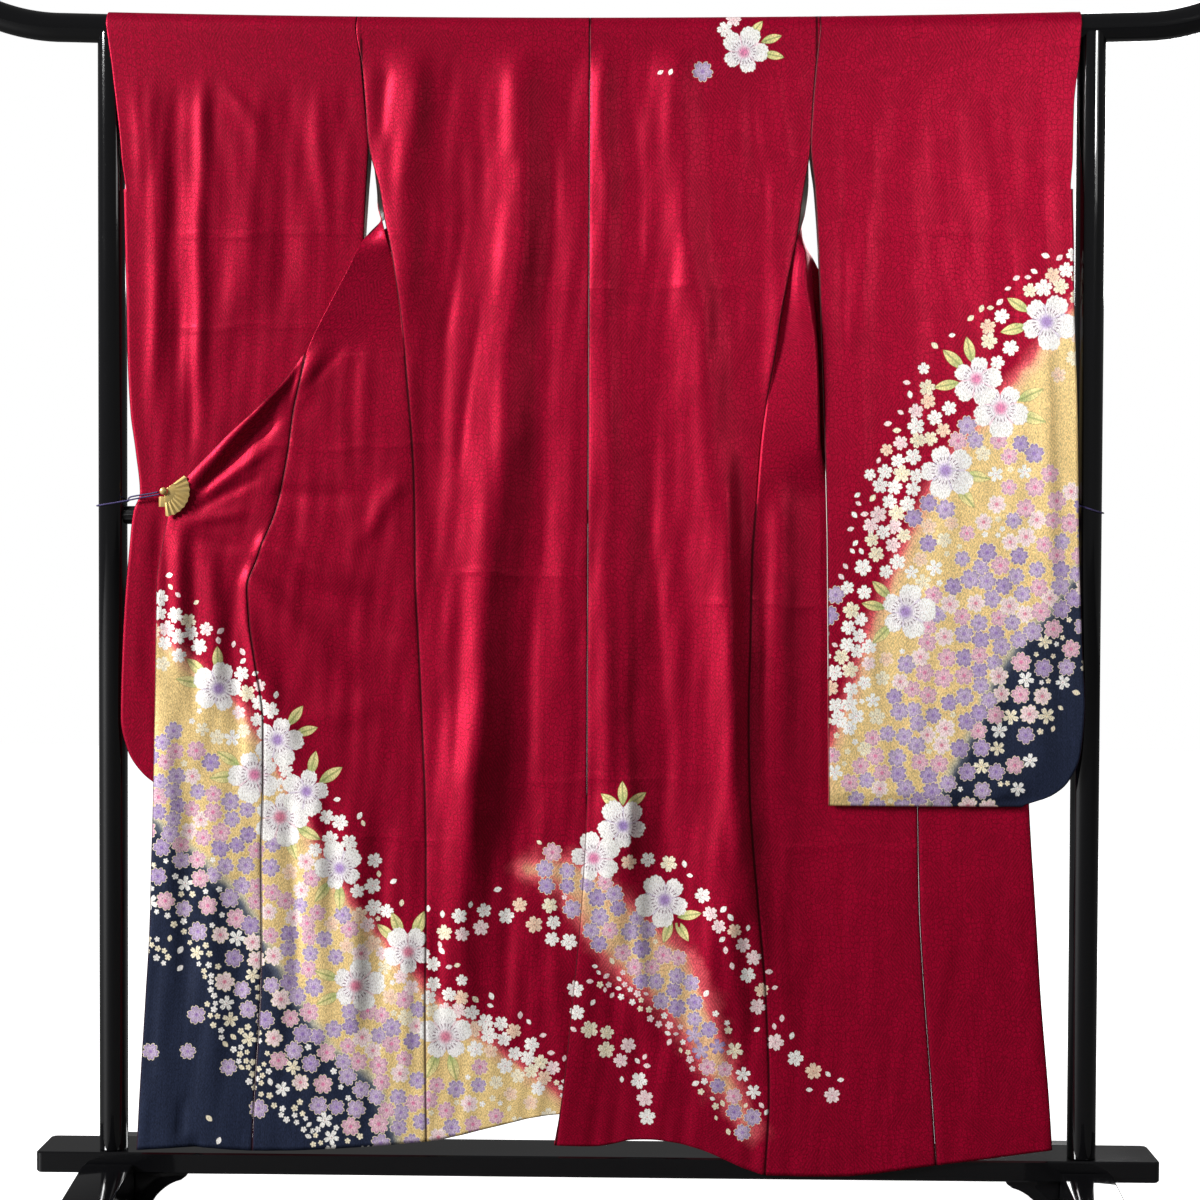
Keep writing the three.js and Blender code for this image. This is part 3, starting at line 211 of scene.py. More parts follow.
# ---------------------------------------------------------------- creases laid one by one
# Each is a soft ridge (depth < 0, towards the viewer) or trough from (x0, z0) to (x1, z1).
CREASE = "x0 z0 x1 z1 width depth"
BODY_CREASES = table(CREASE, [
    (176, 1150, 190, 420, 13, -5), (38, 1000, 42, 430, 15, -6), (-150, 1050, -172, 420, 20, -6),
    (-92, 900, -96, 420, 22, 5), (-512, 984, -462, 930, 9, 5.5), (-549, 200, -563, 112, 9, 5),
    (-256, 1800, -262, 1180, 34, -9), (-98, 1830, -112, 1160, 34, -12), (-108, 1420, -186, 330, 36, -14),
    (-60, 1640, -96, 420, 26, 6), (9, 1850, 8, 1180, 18, -8), (8, 1340, 22, 330, 20, -8),
    (84, 1800, 156, 1040, 30, -12), (140, 1280, 218, 260, 32, -15), (214, 1240, 236, 420, 26, 7),
    (-210, 1400, -226, 900, 26, 5), (252, 1500, 262, 560, 24, -8), (150, 620, 196, 230, 30, -8),
    (-190, 760, -178, 240, 30, -8), (40, 640, 64, 230, 26, -6), (-360, 1270, -410, 1120, 16, -5.4),
    (-340, 640, -330, 200, 22, -5.4), (-178, 1420, -215, 1180, 9, 1.9), (-152, 1330, -196, 1010, 8, 1.7),
    (-108, 1590, -120, 1450, 12, -2.1), (-240, 1600, -262, 1400, 20, -3.4),
    (-286, 1600, -296, 1480, 9, 2.5), (38, 1600, 62, 1260, 11, 2.2), (28, 1240, 66, 760, 18, -2.2),
    (66, 1080, 96, 640, 12, 2), (150, 1590, 214, 1190, 16, -2.2), (196, 1600, 238, 1330, 12, 1.9),
    (236, 1610, 262, 1420, 9, -1.5), (168, 1130, 190, 720, 10, -1.7), (-30, 1180, -52, 640, 16, -1.9),
    (-72, 900, -110, 420, 18, -2.6), (-116, 620, -124, 260, 15, 2.2), (-200, 1000, -206, 560, 16, -1.9),
    (-176, 860, -196, 600, 10, 1.5), (-214, 480, -216, 200, 10, 1.7), (-60, 420, -44, 190, 14, -2.2),
    (4, 620, 26, 330, 16, -2), (40, 470, 62, 180, 12, 2), (112, 560, 140, 260, 14, 1.9),
    (150, 470, 176, 180, 18, -4.2), (206, 480, 208, 190, 12, 1.5), (-262, 1040, -330, 930, 15, -3.7),
    (-280, 720, -440, 690, 22, -2.7), (-292, 600, -300, 260, 16, 4), (-388, 700, -372, 230, 18, -4.3),
    (-418, 620, -410, 300, 10, 3), (-440, 480, -436, 180, 12, -2.4), (-262, 430, -258, 190, 12, -2.8),
    (-330, 1230, -420, 1128, 9, 2.2), (62, 1240, 104, 300, 26, 5), (-575, 992, -290, 872, 20, -7),
    (-560, 970, -318, 742, 25, -8), (-545, 950, -388, 600, 24, -7), (-500, 1010, -300, 1010, 14, 3),
    (-420, 900, -262, 800, 18, 4)])
OKUMI_CREASES = table(CREASE, [
    (-395, 1205, -588, 985, 13, -8.8), (-420, 1130, -570, 985, 12, 4.7), (-566, 990, -575, 740, 12, -6.8),
    (-530, 960, -520, 700, 14, -5.4), (-552, 130, -545, 60, 10, 5.4), (-430, 1085, -560, 990, 8, -3.4),
    (-450, 1040, -566, 978, 7, 2.9), (-470, 985, -572, 966, 8, -3.1), (-480, 930, -576, 950, 9, 2.3),
    (-590, 975, -592, 800, 6, 2.6), (-552, 960, -550, 660, 8, 2.9), (-500, 900, -492, 620, 10, 2.6),
    (-590, 760, -584, 330, 14, -3.1), (-556, 640, -566, 260, 12, 3.1), (-522, 560, -528, 180, 16, -3.9),
    (-486, 520, -494, 240, 10, 2.3), (-606, 420, -612, 160, 10, 2.3), (-482, 800, -470, 600, 10, -2.3),
    (-566, 182, -574, 118, 5, 3.4)])
SLEEVE_CREASES_LEFT = table(CREASE, [
    (-539, 1700, -545, 1040, 11, -5.1), (-575, 1650, -578, 1060, 13, 3.5), (-610, 1650, -605, 1050, 12, -3.5),
    (-470, 1620, -486, 1180, 24, -2.6), (-420, 1600, -432, 1240, 16, 2.2), (-384, 1610, -372, 1330, 12, -2.2),
    (-556, 1300, -560, 1020, 6, 1.6), (-592, 1560, -596, 1240, 6, -1.9), (-640, 1380, -622, 1040, 8, 1.9),
    (-628, 1000, -640, 700, 8, -1.9), (-575, 1655, -460, 1505, 12, -4.2), (-632, 1650, -628, 1380, 8, -2.8),
    (-560, 1000, -566, 680, 12, -4.6), (-600, 1010, -608, 690, 10, 2.6)])
SLEEVE_CREASES_RIGHT = table(CREASE, [
    (600, 1580, 618, 700, 16, -4.8), (440, 1650, 420, 900, 22, -3.2), (520, 1600, 532, 1100, 18, 2.6),
    (372, 1590, 356, 1180, 14, -2.9), (334, 1500, 332, 1120, 8, 1.9), (560, 1400, 572, 900, 12, -2.2),
    (482, 1200, 470, 760, 20, -2.4), (400, 1100, 392, 680, 16, 2.2), (632, 1420, 640, 980, 8, 2.6),
    (548, 860, 560, 640, 14, 2.2), (346, 900, 344, 640, 10, -1.9)])


def smooth(t):
    c = np.clip(t, 0.0, 1.0)
    return c * c * (3 - 2 * c)


def through(knots, values, places):
    """Values at `places` of a curve through `values` at `knots` that never overshoots them."""
    t = np.asarray(knots, float)
    values = np.asarray(values, float)
    v = values.reshape(len(t), -1)
    places = np.clip(np.asarray(places, float), t[0], t[-1])
    step = np.diff(t)[:, None]
    rise = np.diff(v, axis=0) / step
    slope = np.zeros_like(v)
    slope[0], slope[-1] = rise[0], rise[-1]
    low, high = rise[:-1], rise[1:]
    a, b = 2 * step[1:] + step[:-1], step[1:] + 2 * step[:-1]
    same = low * high > 0
    safe_low, safe_high = np.where(same, low, 1.0), np.where(same, high, 1.0)
    slope[1:-1] = np.where(same, (a + b) / (a / safe_low + b / safe_high), 0.0)
    k = np.clip(np.searchsorted(t, places, side="right") - 1, 0, len(t) - 2)
    h = step[k]
    s = ((places - t[k]) / (t[k + 1] - t[k]))[:, None]
    out = (2 * s**3 - 3 * s**2 + 1) * v[k] + (s**3 - 2 * s**2 + s) * h * slope[k]
    out += (3 * s**2 - 2 * s**3) * v[k + 1] + (s**3 - s**2) * h * slope[k + 1]
    return out.reshape((len(places),) + values.shape[1:])


def look(rows, name, z):
    """Column `name` of a table at heights z."""
    z = np.asarray(z, float)
    key = "z" if "z" in rows else "x"
    good = ~np.isnan(rows[name])
    return through(rows[key][good], rows[name][good], z.ravel()).reshape(z.shape)


def bar_height(x):
    return BAR_Z + BAR_BOW * (np.asarray(x, float) / POST_X) ** 2


def crease_depth(creases, x, z):
    """Depth of all the creases of a table at points (x, z); each line wanders a little."""
    depth = np.zeros_like(x)
    rows = zip(*(creases[name] for name in CREASE.split()))
    for i, (x0, z0, x1, z1, width, deep) in enumerate(rows):
        run = math.hypot(x1 - x0, z1 - z0)
        along = ((x - x0) * (x1 - x0) + (z - z0) * (z1 - z0)) / run
        across = ((x - x0) * (z1 - z0) - (z - z0) * (x1 - x0)) / run
        across = across + 0.12 * width * np.sin(along / 83.0 + 2.1 * i)
        across = across + 1.1 * np.sin(along / 31.0 + 1.3 * i)
        fade = smooth(along / (0.28 * run)) * smooth((run - along) / (0.28 * run))
        fade = fade * (0.85 + 0.15 * np.sin(along / 61.0 + i))
        sharp = np.where(across > 0, width, 0.75 * width)
        depth += deep * fade * np.exp(-((across / sharp) ** 2))
    return depth


def ripple(x, z, seed, size=1.0):
    """Low unevenness of hanging silk: long upright waves and a few slack dimples."""
    rng = np.random.default_rng(seed)
    depth = np.zeros_like(x)
    for _ in range(9):
        across, along = rng.uniform(22, 90), rng.uniform(240, 800)
        lean, phase = rng.uniform(-0.25, 0.25), rng.uniform(0, 2 * math.pi, 2)
        depth += 0.17 * np.sin(2 * math.pi * (x + lean * z) / across + phase[0]
                               + 1.4 * np.sin(2 * math.pi * z / along + phase[1]))
    for _ in range(7):
        across, along = rng.uniform(60, 160), rng.uniform(70, 200)
        phase = rng.uniform(0, 2 * math.pi, 2)
        waves = np.sin(2 * math.pi * x / across + phase[0]) * np.sin(2 * math.pi * z / along + phase[1])
        depth += 0.13 * waves
    return size * depth


def hang(z):
    return look(HANG, "y", z)


# ---------------------------------------------------------------- grids of cloth
FINE = 5.6                      # rows of the cloth mesh are about this far apart


def strips(count, steps, edges):
    """Column places, `steps` to a strip and closer together beside the sewn edges."""
    base = np.linspace(0, count, count * steps + 1)
    near = [edge + side * d for edge in edges for side in (-1, 1) for d in (0.045, 0.1)]
    near = [place for place in near if 0 < place < count]
    return np.unique(np.round(np.concatenate([base, near]), 4))


def finer(knots, step=FINE):
    """Row places that include every knot."""
    places = []
    for low, high in zip(knots[:-1], knots[1:]):
        count = max(1, math.ceil((high - low) / step - 0.01))
        places.extend(low + (high - low) * np.arange(count) / count)
    return np.array(places + [knots[-1]])


def refine(control, knots, places, columns, column_places):
    rows = through(knots, control, places)
    return through(columns, rows.transpose(1, 0, 2), column_places).transpose(1, 0, 2)


def across_strips(points, knots, count):
    """Points of a row, spread over `count` strips between the given ones."""
    return through(knots, points, np.arange(count + 1) / count)


class Cloth:
    """A sheet made of grids of points that may share corners, with values held at each point."""

    def __init__(self):
        self.points = []
        self.values = []
        self.quads = []
        self.size = 0

    def add(self, points, **values):
        """Adds points of shape (..., 3); returns their numbers in the same shape."""
        flat = points.reshape(-1, 3)
        numbers = np.arange(self.size, self.size + len(flat)).reshape(points.shape[:-1])
        self.size += len(flat)
        self.points.append(flat)
        self.values.append({k: np.broadcast_to(v, points.shape[:-1]).reshape(-1) for k, v in values.items()})
        return numbers

    def fill(self, numbers, turned=False):
        """Fills a grid of corner numbers with faces."""
        a, b = numbers[:-1, :-1].ravel(), numbers[:-1, 1:].ravel()
        c, d = numbers[1:, 1:].ravel(), numbers[1:, :-1].ravel()
        quads = np.stack([a, b, c, d] if not turned else [d, c, b, a], 1)
        keep = [len(set(q)) > 2 for q in quads.tolist()]
        self.quads.append(quads[np.array(keep)])

    def arrays(self):
        points, quads = np.concatenate(self.points), np.concatenate(self.quads)
        used, numbers = np.unique(quads, return_inverse=True)
        names = self.values[0].keys()
        values = {k: np.concatenate([v[k] for v in self.values])[used] for k in names}
        return points[used], numbers.reshape(quads.shape), values


def corner_normals(points, quads):
    normal = np.zeros_like(points)
    diagonal = np.cross(points[quads[:, 2]] - points[quads[:, 0]], points[quads[:, 3]] - points[quads[:, 1]])
    for k in range(4):
        np.add.at(normal, quads[:, k], diagonal)
    return normal / np.maximum(np.linalg.norm(normal, axis=1), 1e-9)[:, None]


def free_edges(quads, count):
    """Directed edges of the faces that no neighbour shares."""
    pairs = np.concatenate([np.stack([quads[:, k], quads[:, (k + 1) % 4]], 1) for k in range(4)])
    pairs = pairs[pairs[:, 0] != pairs[:, 1]]
    key = pairs[:, 0].astype(np.int64) * count + pairs[:, 1]
    twin = pairs[:, 1].astype(np.int64) * count + pairs[:, 0]
    return pairs[~np.isin(key, twin)]


def face_list(quads):
    """Faces as lists of different corners."""
    out = []
    for a, b, c, d in quads.tolist():
        corners = [a]
        for k in (b, c, d):
            if k != corners[-1] and k != a:
                corners.append(k)
        out.append(corners)
    return out


OUTER, LINING, HEM_EDGE, BLOSSOMED = range(4)


def lay(mesh, name, domain, vectors):
    """Lays a vector on each point or face of a mesh."""
    layer = mesh.attributes.new(name, "FLOAT_VECTOR", domain)
    layer.data.foreach_set("vector", vectors.astype(np.float32).ravel())


def shell(name, cloth, thickness, dye, sprays):
    """Makes a sheet's two faces and its rim one closed mesh, and lays the dye and print on it."""
    points, quads, values = cloth.arrays()
    count = len(points)
    normal = corner_normals(points, quads)
    rim = free_edges(quads, count)
    outer = points + normal * thickness / 2
    inner = points - normal * thickness / 2
    place = np.concatenate([outer, inner])
    place[:, 1] -= PLANK_MIDDLE
    rim_quads = np.stack([rim[:, 0], rim[:, 0] + count, rim[:, 1] + count, rim[:, 1]], 1)
    faces = face_list(quads) + face_list(quads[:, ::-1] + count) + rim_quads.tolist()
    mesh = bpy.data.meshes.new(name)
    mesh.from_pydata((place * MM).tolist(), [], faces)
    slots = np.concatenate([np.full(len(quads), OUTER), np.full(len(quads), LINING),
                            np.full(len(rim), HEM_EDGE)])
    mesh.shade_smooth()
    x, z, shown = values["px"], values["pz"], values["printed"]
    gold, navy = (amount * shown for amount in dye(x, z))
    columns = {"print_at": (x, z, 0 * x), "cloth_at": (values["u"], values["v"], values["seam"]),
               "dye": (gold, navy, pressed(x, z))}
    for key, column in columns.items():
        lay(mesh, key, "POINT", np.tile(np.stack(column, 1), (2, 1)))
    centres = np.stack([x, z], 1)[quads].mean(axis=1)
    printed = shown[quads].min(axis=1) > 0.5
    rest = len(faces) - len(quads)
    centres = np.concatenate([centres, np.zeros((rest, 2))])
    printed = np.concatenate([printed, np.zeros(rest, bool)])
    slots[print_spots(mesh, centres, printed, sprays)] = BLOSSOMED
    mesh.polygons.foreach_set("material_index", slots.astype(np.int32))
    piece = bpy.data.objects.new(name, mesh)
    bpy.context.collection.objects.link(piece)
    return piece


# ---------------------------------------------------------------- the print, laid out by rule
# Lines over the cloth that the dyeing and the blossoms follow, from left to right, as x and z.
SKIRT_RIM = [(-640, 905), (-592, 857), (-523, 795), (-448, 707), (-379, 604), (-338, 522), (-282, 426),
             (-227, 364), (-172, 303), (-103, 262), (-48, 207), (0, 165)]
SKIRT_GOLD = [(-650, 862), (-602, 822), (-544, 768), (-489, 720), (-441, 645), (-393, 549), (-337, 453),
              (-269, 371), (-200, 302), (-131, 248), (-55, 193), (0, 150)]
SKIRT_NAVY = [(-660, 615), (-613, 575), (-544, 520), (-475, 452), (-434, 370), (-365, 260), (-296, 205),
              (-268, 136), (-255, 80)]
SLEEVE_RIM = [(300, 660), (321, 745), (338, 813), (368, 922), (390, 1031), (417, 1085), (464, 1174),
              (524, 1228), (584, 1282), (645, 1322), (700, 1350)]
SLEEVE_GOLD = [(290, 590), (316, 677), (345, 759), (371, 841), (405, 922), (451, 1031), (492, 1086),
               (558, 1167), (645, 1275), (700, 1335)]
SLEEVE_NAVY = [(436, 560), (448, 596), (482, 650), (508, 705), (528, 760), (562, 814), (615, 869),
               (655, 930), (700, 990)]
BACK_BAND = [(-96, 497), (-60, 495), (-27, 484), (6, 442), (40, 406), (67, 379), (98, 355), (123, 315),
             (145, 275), (170, 223), (194, 176), (214, 138)]
BAND_HALF = [4, 12, 22, 30, 36, 38, 34, 26, 19, 13, 7, 1]
BAND_SOFT, BAND_STRENGTH = 11.0, 0.84
BACK_ARC = [(24, 525), (64, 513), (107, 492), (140, 456), (162, 425), (186, 410), (205, 380), (214, 352),
            (224, 334), (230, 303), (242, 273), (264, 248), (300, 218), (330, 186)]
SIDE_ARC = [(-223, 407), (-187, 423), (-150, 435), (-119, 435), (-89, 436), (-55, 433), (-43, 408),
            (-33, 378)]
LOW_ARC = [(-33, 332), (-25, 310), (-8, 283), (13, 258), (38, 246), (48, 218), (62, 197), (84, 160)]
TINY_CHAIN = [(-6, 360), (34, 335), (59, 326), (83, 305), (108, 274), (136, 238), (154, 216), (179, 180)]

SAKURA, LARGE, CLUSTER, LEAF, TINY, OPEN, PETAL = range(7)
WHITE, CREAM, PINK, PEACH, LILAC, VIOLET, ROSE, OLIVE = range(8)


def lengths(path):
    path = np.array(path, float)
    return path, np.concatenate([[0], np.cumsum(np.linalg.norm(np.diff(path, axis=0), axis=1))])


def beside(path, part, offset):
    """The point at a part (0 to 1) of a line's length, moved aside by offset to its left."""
    path, gone = lengths(path)
    place = through(gone, path, np.atleast_1d(part) * gone[-1])[0]
    ahead = through(gone, path, np.atleast_1d(min(part + 0.01, 1.0)) * gone[-1])[0]
    back = through(gone, path, np.atleast_1d(max(part - 0.01, 0.0)) * gone[-1])[0]
    way = (ahead - back) / max(np.linalg.norm(ahead - back), 1e-6)
    return place + offset * np.array([-way[1], way[0]])


def aside_of(path, x, z):
    """Signed distance from a line, positive on its left, and how far along it (0 to 1)."""
    path, gone = lengths(path)
    best = np.full(x.shape, 1e9)
    signed, part = np.zeros_like(x), np.zeros_like(x)
    for i, (a, b) in enumerate(zip(path[:-1], path[1:])):
        run = b - a
        t = np.clip(((x - a[0]) * run[0] + (z - a[1]) * run[1]) / (run @ run), 0, 1)
        dx, dz = x - a[0] - t * run[0], z - a[1] - t * run[1]
        far = np.hypot(dx, dz)
        near = far < best
        side = np.sign(run[0] * (z - a[1]) - run[1] * (x - a[0]))
        signed = np.where(near, far * side, signed)
        part = np.where(near, (gone[i] + t * np.linalg.norm(run)) / gone[-1], part)
        best = np.minimum(best, far)
    return signed, part


class Spray:
    """Blossoms strewn beside lines; each has a place, radius, turn, kind, tint and rank."""

    def __init__(self, seed):
        self.rng = np.random.default_rng(seed)
        self.spots = []

    def put(self, x, z, radius, kind, tint, turn=None, rank=0):
        turn = self.rng.uniform(0, 2 * math.pi) if turn is None else turn
        self.spots.append((x, z, radius, turn, kind, tint, rank))

    def free(self, x, z, radius, room):
        """True if no blossom already put lies too near."""
        for sx, sz, other, *_ in self.spots:
            if (sx - x) ** 2 + (sz - z) ** 2 < (room * (radius + other)) ** 2:
                return False
        return True

    def strew(self, path, count, parts, offsets, sizes, kinds, tints, room=0.92, rank=0, thin=0.0):
        """Tries `count` blossoms in a band beside a line; `thin` thins it towards its outer side."""
        for _ in range(count):
            part = self.rng.uniform(*parts)
            share = self.rng.uniform(0, 1)
            if self.rng.uniform(0, 1) < thin * share:
                continue
            offset = offsets[0] + (offsets[1] - offsets[0]) * share
            x, z = beside(path, part, offset)
            radius = self.rng.uniform(*sizes)
            kind = int(self.rng.choice(kinds))
            tint = int(self.rng.choice(tints))
            if self.free(x, z, radius, room):
                self.put(x, z, radius, kind, tint, rank=rank)

    def large_ones(self, places):
        """Large blossoms, each with leaves behind it; a place is x, z and the leaves' first turn."""
        for x, z, start in places:
            radius = self.rng.uniform(33, 40)
            x, z = x + self.rng.uniform(-7, 7), z + self.rng.uniform(-7, 7)
            self.put(x, z, radius, LARGE, int(self.rng.choice([LILAC, PINK, ROSE])), rank=3)
            for k in range(int(self.rng.integers(2, 4))):
                turn = start + k * self.rng.uniform(0.55, 0.8)
                reach = radius + 6
                self.put(x + reach * math.cos(turn), z + reach * math.sin(turn), self.rng.uniform(17, 21),
                         LEAF, OLIVE, turn, rank=1)


def bloom_slope(spray, rim, gold, navy):
    """The flowering edge of a dyed slope: small blossoms outside, clusters inside."""
    small = [WHITE, WHITE, WHITE, CREAM, PINK, PEACH]
    spray.strew(rim, 2600, (0.05, 0.93), (-42, 6), (10, 12.5), [SAKURA], small, 0.8)
    spray.strew(rim, 110, (0.03, 0.97), (2, 24), (8, 11), [SAKURA], small, 0.98, thin=0.8)
    spray.strew(rim, 260, (0.02, 0.99), (0, 34), (4.5, 6), [PETAL], [WHITE, PINK, CREAM], 1.05, thin=0.5)
    spray.strew(rim, 200, (0.8, 0.98), (-14, 8), (3.5, 5.0), [TINY], [WHITE, CREAM], 1.1)
    mixed = [LILAC, LILAC, VIOLET, ROSE, ROSE, PINK]
    spray.strew(gold, 90, (0.1, 0.95), (-52, -22), (10, 12), [SAKURA], [PEACH, PEACH, CREAM], 1.0)
    spray.strew(navy, 6000, (0.02, 0.98), (-30, 108), (12.5, 15), [CLUSTER], mixed, 0.73)
    spray.strew(navy, 260, (0.0, 0.9), (-84, -20), (12, 14.5), [CLUSTER], mixed, 0.9, thin=0.45)
    spray.strew(navy, 260, (0.05, 0.95), (60, 170), (12, 14), [CLUSTER], mixed, 1.02, thin=0.3)
    spray.strew(navy, 600, (0.02, 0.97), (-100, 170), (10, 12), [OPEN], [WHITE, WHITE, CREAM], 0.84)
    spray.strew(navy, 900, (0.02, 0.95), (-96, 150), (3.6, 4.8), [TINY], [CREAM, WHITE], 0.98)
    spray.strew(navy, 120, (0.05, 0.95), (-130, 160), (4.5, 6), [PETAL], [WHITE, CREAM], 1.15)


def skirt_print():
    """The left skirt: its two panels share one plane of the hanging cloth."""
    spray = Spray(20)
    spray.large_ones([
        (-517, 748, 1.6), (-434, 679, 0.3), (-470, 624, 2.6), (-392, 604, 0.6), (-430, 566, -1.2),
        (-358, 500, -2.2), (-263, 387, 1.2), (-324, 336, 2.8), (-204, 262, -2.0)])
    bloom_slope(spray, SKIRT_RIM, SKIRT_GOLD, SKIRT_NAVY)
    for offset, parts in ((-92, (0.02, 0.5)), (-142, (0.02, 0.4)), (-112, (0.5, 0.9))):
        spray.strew(SKIRT_NAVY, 420, parts, (offset - 11, offset + 11), (3.6, 5.0), [TINY],
                    [CREAM, WHITE], 0.98)
        spray.strew(SKIRT_NAVY, 40, parts, (offset - 26, offset + 26), (12, 14.5), [CLUSTER],
                    [LILAC, ROSE, LILAC], 0.95)
    spray.strew(SKIRT_NAVY, 20, (0.0, 0.6), (-230, -120), (12, 14), [CLUSTER], [LILAC, ROSE], 1.8)
    spray.strew(SKIRT_NAVY, 30, (0.0, 0.8), (-210, -90), (4.5, 6), [PETAL], [WHITE, CREAM], 1.6)
    return spray


def cascade_print():
    """The spray over the centre of the back, and the few blossoms at the shoulder."""
    spray = Spray(31)
    small = [WHITE, WHITE, PINK, PEACH, CREAM]
    spray.put(37, 559, 34, LARGE, VIOLET, 2.2, rank=3)
    spray.put(-3, 514, 35, LARGE, ROSE, 0.6, rank=3)
    spray.put(94, 456, 37, LARGE, LILAC, 3.4, rank=3)
    for x, z, turn in ((36, 603, 1.6), (20, 592, 2.5), (54, 594, 0.6), (128, 436, 0.2), (98, 413, -1.9),
                       (118, 414, -1.0)):
        spray.put(x, z, 17, LEAF, OLIVE, turn, rank=1)
    mixed = [LILAC, LILAC, VIOLET, ROSE]
    spray.strew(BACK_BAND, 2000, (0.03, 0.62), (-32, 30), (12, 14.5), [CLUSTER], mixed, 0.75)
    spray.strew(BACK_BAND, 300, (0.6, 0.99), (-14, 14), (11.5, 13.5), [CLUSTER, CLUSTER, OPEN], mixed, 0.84)
    spray.strew(BACK_BAND, 120, (0.02, 0.98), (-30, 32), (10.5, 12.5), [OPEN], [WHITE, CREAM], 0.95)
    spray.strew(BACK_BAND, 260, (0.03, 0.98), (-38, 38), (3.6, 6), [TINY, PETAL], [WHITE, PINK, CREAM], 0.98)
    spray.strew(TINY_CHAIN, 240, (0.0, 1.0), (-14, 12), (3.8, 5.2), [TINY, TINY, PETAL],
                [PINK, WHITE, CREAM], 1.02)
    spray.strew(BACK_ARC, 300, (0.0, 0.66), (-13, 13), (10, 12.5), [SAKURA], small, 1.0)
    spray.strew(BACK_ARC, 60, (0.66, 0.99), (-9, 9), (10, 12.5), [SAKURA], small, 1.2)
    spray.strew(BACK_ARC, 110, (0.02, 0.99), (-22, 24), (4.5, 6), [PETAL], [WHITE, PINK], 1.15)
    spray.strew(SIDE_ARC, 200, (0.02, 0.98), (-22, 14), (10, 12.5), [SAKURA], small, 1.06)
    spray.strew(SIDE_ARC, 80, (0.0, 1.0), (-30, 36), (4.5, 6), [PETAL], [WHITE, PINK], 1.3)
    spray.strew(LOW_ARC, 160, (0.0, 0.99), (-14, 14), (10, 12.5), [SAKURA], small, 1.02)
    spray.strew(LOW_ARC, 70, (0.0, 0.9), (-22, 26), (4.5, 6), [PETAL], [WHITE, PINK], 1.25)
    spray.put(196, 1610, 32, LARGE, ROSE, 1.2, rank=3)
    for x, z, turn in ((212, 1641, 0.9), (233, 1628, 0.3), (236, 1606, -0.2)):
        spray.put(x, z, 15, LEAF, OLIVE, turn, rank=1)
    spray.put(140, 1584, 15, CLUSTER, LILAC, rank=2)
    for x, z, tint in ((170, 1641, WHITE), (182, 1655, PINK)):
        spray.put(x, z, 11, SAKURA, tint, rank=2)
    spray.strew([(80, 1584), (120, 1596)], 12, (0, 1), (-8, 8), (4.5, 6), [PETAL], [WHITE, PINK], 1.4)
    return spray


def sleeve_print():
    spray = Spray(47)
    spray.large_ones([
        (603, 1246, 2.6), (509, 1164, 1.8), (552, 1128, -0.3), (471, 1047, -0.9), (414, 846, 2.4)])
    bloom_slope(spray, SLEEVE_RIM, SLEEVE_GOLD, SLEEVE_NAVY)
    spray.strew(SLEEVE_NAVY, 1500, (0.4, 1.0), (90, 235), (12.5, 15), [CLUSTER], [LILAC, ROSE, VIOLET], 0.80)
    spray.strew(SLEEVE_NAVY, 60, (0.4, 1.0), (60, 250), (11, 13), [OPEN], [WHITE, CREAM], 0.95)
    return spray


def skirt_dye(x, z):
    gold, _ = aside_of(SKIRT_GOLD, x, z)
    navy, _ = aside_of(SKIRT_NAVY, x, z)
    return smooth((22 - gold) / 52), smooth((16 - navy) / 50)


def sleeve_dye(x, z):
    gold, _ = aside_of(SLEEVE_GOLD, x, z)
    navy, _ = aside_of(SLEEVE_NAVY, x, z)
    return smooth((20 - gold) / 56), smooth((14 - navy) / 50)


def cascade_dye(x, z):
    far, part = aside_of(BACK_BAND, x, z)
    _, gone = lengths(BACK_BAND)
    half = through(gone / gone[-1], np.array(BAND_HALF, float), part.ravel()).reshape(part.shape)
    glow = BAND_STRENGTH / (1 + np.exp((abs(far) - half) / BAND_SOFT))
    return glow, np.zeros_like(glow)


def no_dye(x, z):
    return np.zeros_like(x), np.zeros_like(x)


def both(*dyes):
    """Several dyed fields on one panel."""
    def dye(x, z):
        fields = [d(x, z) for d in dyes]
        return np.maximum.reduce([f[0] for f in fields]), np.maximum.reduce([f[1] for f in fields])
    return dye


# height, middle and half length of each line that folding for storage leaves
PRESSED = [(1364, -430, 190), (1237, -470, 150), (1074, -330, 150), (862, 240, 130), (538, -340, 170),
           (528, 360, 150), (900, -110, 110), (620, 30, 160), (1364, 460, 150), (985, 560, 120),
           (1290, 60, 200)]


def pressed(x, z):
    """How strongly a storage crease marks each point."""
    mark = np.zeros_like(x)
    for i, (height, middle, half) in enumerate(PRESSED):
        line = height + 3.5 * np.sin(x / 37.0 + i) + 2.0 * np.sin(x / 15.0 + 2 * i)
        mark += np.exp(-(((z - line) / 5.5) ** 2)) * smooth((half - abs(x - middle)) / (0.5 * half))
    return mark


SPOTS_PER_FACE = 3


